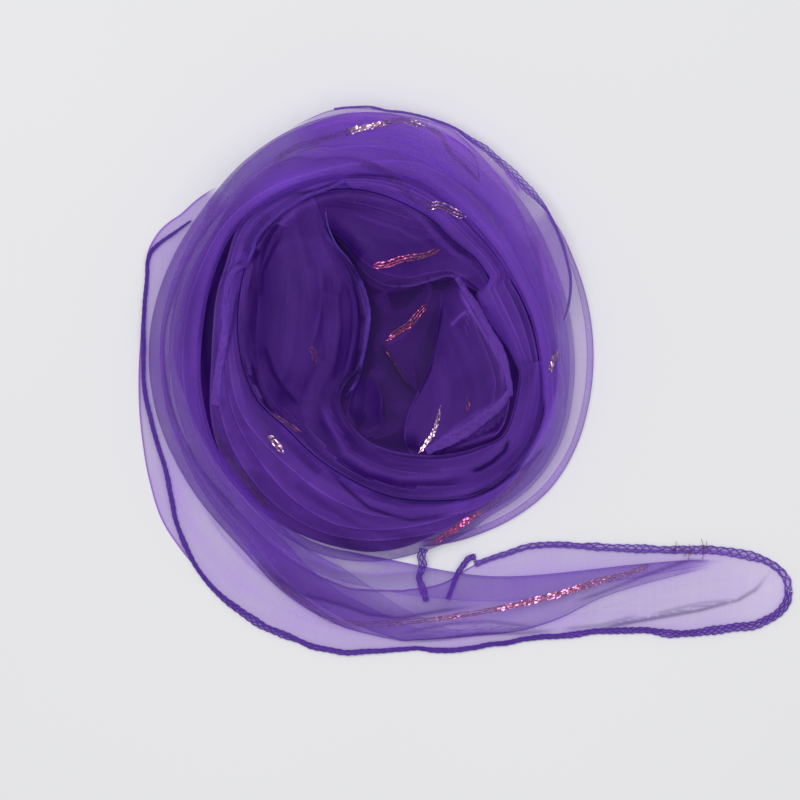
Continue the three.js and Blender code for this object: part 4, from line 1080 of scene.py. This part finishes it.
# the top: along the edge of the single layer there
topWinds = evenKeys(172, 267, 3)
topX, topY = onCoil(topWinds, readTable(topBrim, "wind", topWinds)["outer"])
farHem = overlock("farHem", topX, topY,
                  {**rolled, "seed": 8, "thread": 0.25, "edging": 0.23, "lift": 0.2, "holes": 0.6,
                   "roll": 0.8, "yarn": hemThread,
                   "width": ((0, 0.35, 0.45, 0.62, 0.7, 0.96, 1), (0.3, 0.5, 1.5, 1.5, 0.5, 0.4, 0.15))},
                  ("hem_far",))
secondX = (-53.3, -60.1, -73.6, -87.1, -92.5, -96.1, -102.8, -106.0, -106.9, -107.3, -109.6, -111.4)
secondY = (88.4, 85.3, 79.9, 69.5, 62.8, 52.9, 48.4, 40.3, 29.0, 17.8, 4.3, -11.5)
slight = {**looped, "thread": 0.1, "swing": 0.3, "edging": 0.15, "roll": 1.0, "holes": 0.0, "yarn": hemSoft,
          "crinkle": 0.3, "cloth": organzaHem}
overlock("secondHem", secondX, secondY,
         {**slight, "seed": 9, "lift": 0.0, "width": ((0, 0.4, 0.55, 1), (0.6, 0.9, 1.6, 2.3))},
         ("hem_second",))
# inside the coil, by grid squares like the creases
budHem = overlock("budHem",
                  *gridLine(((456, 279), (463, 289), (473, 305), (484, 325), (495, 345), (503, 362),
                             (507, 380), (508, 396))),
                  {**slight, "seed": 10, "lift": 0.1, "width": ((0, 0.2, 0.6, 1), (1.0, 1.6, 2.0, 1.2))},
                  ("hem_bud",))
foldedHem = overlock("foldedHem",
                     *gridLine(((508, 392), (498, 405), (482, 417), (464, 430), (445, 441), (426, 451))),
                     {**slight, "seed": 14, "lift": 0.1, "width": ((0, 0.3, 0.6, 1), (1.0, 2.6, 3.0, 1.6))})
petalHem = overlock("petalHem",
                    *gridLine(((326, 214), (329, 230), (337, 246), (349, 262), (358, 276), (366, 298),
                               (369, 320), (366, 342), (362, 363), (356, 382), (346, 397))),
                    {**slight, "seed": 15, "lift": 0.1, "thread": 0.16,
                     "width": ((0, 0.25, 0.5, 1), (0.15, 0.4, 0.9, 0.6))})
dropX, dropY = (-18.2, -19.1, -18.2, -20.5, -18.7, -16.9), (-75.8, -79.4, -83.9, -89.3, -94.7, -100.1)
overlock("dropHem", dropX, dropY,
         {**rolled, "seed": 12, "width": ((0, 0.3, 0.5, 1), (1.6, 1.8, 1.5, 1.1)),
          "height": ((0, 0.2, 0.45, 1), (10, 5, 2.4, 2.2))}, ("hem_drop",))
forkX, forkY = (5.6, 2.9, 0.7, -2.9, -5.2, -7.4), (-80.0, -80.3, -82.6, -88.0, -93.8, -99.2)
overlock("forkHem", forkX, forkY, {**rolled, "seed": 13, "height": ((0, 0.3, 1), (2.2, 2.2, 2.0))})


def frayedEnds(name, knots, look):
    # short threads out of each knot: a heading drawn at random, bent by a quarter sine along its length
    draw = np.random.default_rng(look["seed"])
    lines = []
    for x, y in knots:
        for k in range(look["threads"]):
            run = np.linspace(0, draw.uniform(*look["length"]), 14)
            heading, bend = draw.uniform(0, 2 * np.pi), draw.uniform(-1.6, 1.6)
            turn = heading + bend * np.sin(run / run[-1] * np.pi / 2)
            step = np.diff(run, prepend=0)
            lines.append(np.stack([x + np.cumsum(step * np.cos(turn)), y + np.cumsum(step * np.sin(turn)),
                                   look["height"] + 0.5 * np.sin(np.pi * run / run[-1])], axis=1))
    return dress(putStrands(name, lines, [look["thread"]] * len(lines), sides=5), look["yarn"])


fray = {"seed": 71, "threads": 9, "length": (1.5, 5.0), "thread": 0.11, "height": 1.3,
        "yarn": threadFinish("maroonThread",
                             {"deep": (0.10, 0.012, 0.05), "bright": (0.30, 0.05, 0.12), "through": 0.2})}
frayedEnd = frayedEnds("frayedEnd", np.stack(gridLine(((676, 549), (689, 552), (704, 549))), axis=1), fray)
print("hems sewn")


def stripe(name, path, look):
    # flat yarns side by side, each a ribbon of facets whose corners are tilted at random; where the
    # shine is low the yarns turn on edge and narrow to lines
    run, (x, y) = evenLine(*gridLine(path), look["facet"])
    z = settle(x, y, look["lift"], reach=1.6)
    line = np.stack([x, y, z], axis=1)
    ahead = np.gradient(line, axis=0)
    side = np.stack([ahead[:, 1], -ahead[:, 0], 0 * run], axis=1)
    side /= np.linalg.norm(side, axis=1)[:, None]
    draw = np.random.default_rng(look["seed"])
    # the shine along the run places painted glints: facets there are brighter, more metallic and more
    # opaque
    shine = np.interp(run / run[-1], *look["shine"])
    ends = np.clip(np.minimum(run, run[-1] - run) / 2.5, 0.15, 1)
    points, faces, tones, first = [], [], [], 0
    for k in range(look["yarns"]):
        middle = (k - (look["yarns"] - 1) / 2) * look["spacing"] * ends + 0.3 * softNoise(run / 9, k,
                                                                                          look["seed"])
        wide = look["yarn"] * (0.35 + 0.65 * np.clip(shine * 1.6, 0, 1)) * ends
        across = np.array([-0.5, 0.0, 0.5])[None, :] * wide[:, None]
        cells = line[:, None, :] + side[:, None, :] * (middle[:, None] + across)[..., None]
        cells = cells + draw.normal(0, 1, cells.shape) * np.array([0.08, 0.08, look["crinkle"]])
        cells[..., 2] += 0.12 * k
        points.append(cells.reshape(-1, 3))
        faces.append(gridFaces(len(run), 3, flip=facesUp(cells), first=first))
        broad = shine[:-1, None] * (1 + 0.8 * softNoise(run[:-1] / 5, k + 0.5, look["seed"] + 2)[:, None])
        tones.append(np.clip(broad * draw.uniform(0.2, 1.8, (len(run) - 1, 2)), 0, 1).ravel())
        first += cells.shape[0] * 3
    thing = putMesh(name, np.concatenate(points), np.concatenate(faces), None, None, np.concatenate(tones),
                    smooth=False)
    return dress(thing, look["film"])


yarns = {"film": filmPale, "yarns": 3, "yarn": 0.9, "spacing": 0.95, "crinkle": 0.13, "lift": 0.3,
         "facet": 0.8, "shine": ((0, 1), (0.4, 0.4))}
stripeTable = {
    "tailStripe": {"film": filmPink,
                   "path": ((650, 565), (636, 571), (620, 576), (600, 581), (580, 588), (560, 594),
                            (540, 599), (510, 606), (480, 612), (450, 617), (420, 621), (380, 624),
                            (350, 623), (330, 620), (312, 608), (290, 592), (272, 578), (257, 562)),
                   "shine": ((0, 0.1, 0.17, 0.22, 0.27, 0.33, 0.4, 0.5, 0.62, 0.7, 1),
                             (0.15, 0.3, 0.5, 0.75, 0.7, 0.6, 0.25, 0.3, 0.12, 0.06, 0.02))},
    "topStripe": {"path": ((275, 163), (295, 149), (315, 144), (331, 138), (345, 135), (360, 130),
                           (375, 127), (390, 123), (403, 121), (425, 127)),
                  "shine": ((0, 0.5, 0.54, 0.64, 0.7, 0.84, 0.94, 1),
                            (0.03, 0.1, 1.0, 1.0, 0.45, 0.15, 0.45, 0.2))},
    "topRail": {"path": ((426, 128), (440, 136), (450, 153), (462, 165), (478, 183)), "yarns": 2,
                "yarn": 1.1, "shine": ((0, 1), (0.06, 0.05))},
    "topRailOuter": {"path": ((446, 136), (460, 145), (472, 155), (478, 168), (478, 183)), "yarns": 1,
                     "yarn": 0.9, "shine": ((0, 1), (0.05, 0.02))},
    "ringGlint": {"path": ((360, 163), (380, 171), (392, 179), (408, 195), (430, 207), (440, 207),
                           (450, 212), (465, 219)), "yarn": 0.7, "spacing": 1.2, "crinkle": 0.2,
                  "shine": ((0, 0.65, 0.72, 0.8, 0.9, 1), (0.05, 0.08, 0.7, 0.45, 0.85, 0.5))},
    "flapGlint": {"film": filmRose, "path": ((372, 268), (388, 266), (402, 261), (425, 257), (440, 251)),
                  "shine": ((0, 0.5, 1), (0.45, 0.4, 0.2))},
    "throatGlint": {"film": filmRose, "path": ((386, 341), (398, 332), (410, 324), (419, 313), (428, 304)),
                    "shine": ((0, 0.3, 1), (0.7, 0.45, 0.2))},
    "throatSpark": {"film": filmRose, "path": ((385, 350), (394, 362), (402, 374), (412, 388)), "yarns": 1,
                    "shine": ((0, 0.1, 0.2, 1), (0.4, 0.3, 0.03, 0.06))},
    "rightGlint": {"path": ((556, 350), (551, 362), (549, 374)), "shine": ((0, 0.5, 1), (0.3, 0.5, 0.3))},
    "petalGlint": {"film": filmRose, "path": ((312, 345), (316, 356), (315, 368)),
                   "shine": ((0, 0.5, 1), (0.15, 0.3, 0.15))},
    "leftGlint": {"path": ((268, 434), (276, 441), (285, 453)), "shine": ((0, 0.3, 1), (0.5, 1, 0.6))},
    "rollGlint": {"film": filmRose, "path": ((272, 412), (290, 424), (304, 434)), "yarns": 2,
                  "shine": ((0, 0.6, 1), (0.1, 0.25, 0.1))},
    "lowerGlint": {"path": ((440, 405), (437, 420), (432, 434), (424, 446), (418, 453)), "yarns": 2,
                   "shine": ((0, 0.3, 0.6, 1), (0.3, 0.6, 1, 0.9))},
    "deepGlint": {"film": filmRose, "path": ((466, 398), (467, 405), (466, 413)), "yarns": 2,
                  "shine": ((0, 1), (0.2, 0.4))},
    "bottomGlint": {"film": filmRose,
                    "path": ((428, 546), (446, 534), (460, 525), (470, 518), (484, 508), (500, 497),
                             (514, 484), (528, 466)),
                    "shine": ((0, 0.15, 0.25, 0.4, 0.5, 1), (0.15, 0.4, 0.9, 0.6, 0.12, 0.03))},
    "hollowStripe": {"path": ((214, 428), (223, 446), (234, 463), (246, 478), (256, 492), (268, 508)),
                     "yarns": 2, "yarn": 1.6, "spacing": 1.2, "shine": ((0, 1), (0.03, 0.03))},
}
for k, (name, look) in enumerate(stripeTable.items()):
    stripe(name, look["path"], {**yarns, "seed": 31 + k, **look})
print("stripes woven")

floorMesh = bpy.data.meshes.new("tableTop")
reach = 3.0
floorMesh.from_pydata([(-reach, -reach, 0), (reach, -reach, 0), (reach, reach, 0), (-reach, reach, 0)], [],
                      [(0, 1, 2, 3)])
table = bpy.data.objects.new("tableTop", floorMesh)
scene.collection.objects.link(table)
paper = Finish("paleTable")
spot = paper.node("ShaderNodeTexCoord", {}, out="Object")
mottle = paper.node("ShaderNodeTexNoise", {}, {"Vector": spot, "Scale": 3.0, "Detail": 2.0})
paperColor = paper.node("ShaderNodeMix", {"data_type": "RGBA"},
                        {0: mottle, 6: (0.83, 0.825, 0.835, 1), 7: (0.87, 0.865, 0.87, 1)}, out=2)
floorMesh.materials.append(paper.finished(paper.node("ShaderNodeBsdfPrincipled", {},
                                                     {
                                                         "Base Color": paperColor, "Roughness": 0.7,
                                                         "Specular IOR Level": 0.2
                                                     })))

world = bpy.data.worlds.new("room")
scene.world = world
world.use_nodes = True
world.node_tree.nodes["Background"].inputs[0].default_value = (0.95, 0.97, 1.0, 1)
world.node_tree.nodes["Background"].inputs[1].default_value = 0.36


def softbox(name, place, aim, size, watts):
    # a rectangle of light at a place, turned to face its aim
    lamp = bpy.data.lights.new(name, "AREA")
    lamp.shape, lamp.size, lamp.size_y, lamp.energy = "RECTANGLE", size[0], size[1], watts
    thing = bpy.data.objects.new(name, lamp)
    thing.location = place
    back = np.array(place) - np.array(aim)
    back = back / np.linalg.norm(back)
    thing.rotation_euler = (math.acos(back[2]), 0, math.atan2(back[1], back[0]) + math.pi / 2)
    scene.collection.objects.link(thing)


softbox("mainSoftbox", (-0.3, 0.35, 1.8), (0, 0, 0), (1.3, 1.1), 20)
softbox("fillSoftbox", (0.8, -0.5, 1.6), (0, 0, 0), (0.8, 0.8), 4)

lens = {"distance": 2.4, "x": -0.0286, "y": -0.0092, "across": 0.36, "level": 0.008}
camera = bpy.data.objects.new("camera", bpy.data.cameras.new("camera"))
camera.data.sensor_width = 36
camera.data.lens = 36 * lens["distance"] / lens["across"]
camera.data.clip_end = 20
camera.location = (lens["x"], lens["y"], lens["distance"] + lens["level"])
scene.collection.objects.link(camera)
scene.camera = camera
scene.view_settings.view_transform = "Standard"
scene.cycles.transparent_max_bounces = 32
scene.cycles.max_bounces = 10
scene.cycles.diffuse_bounces = 5
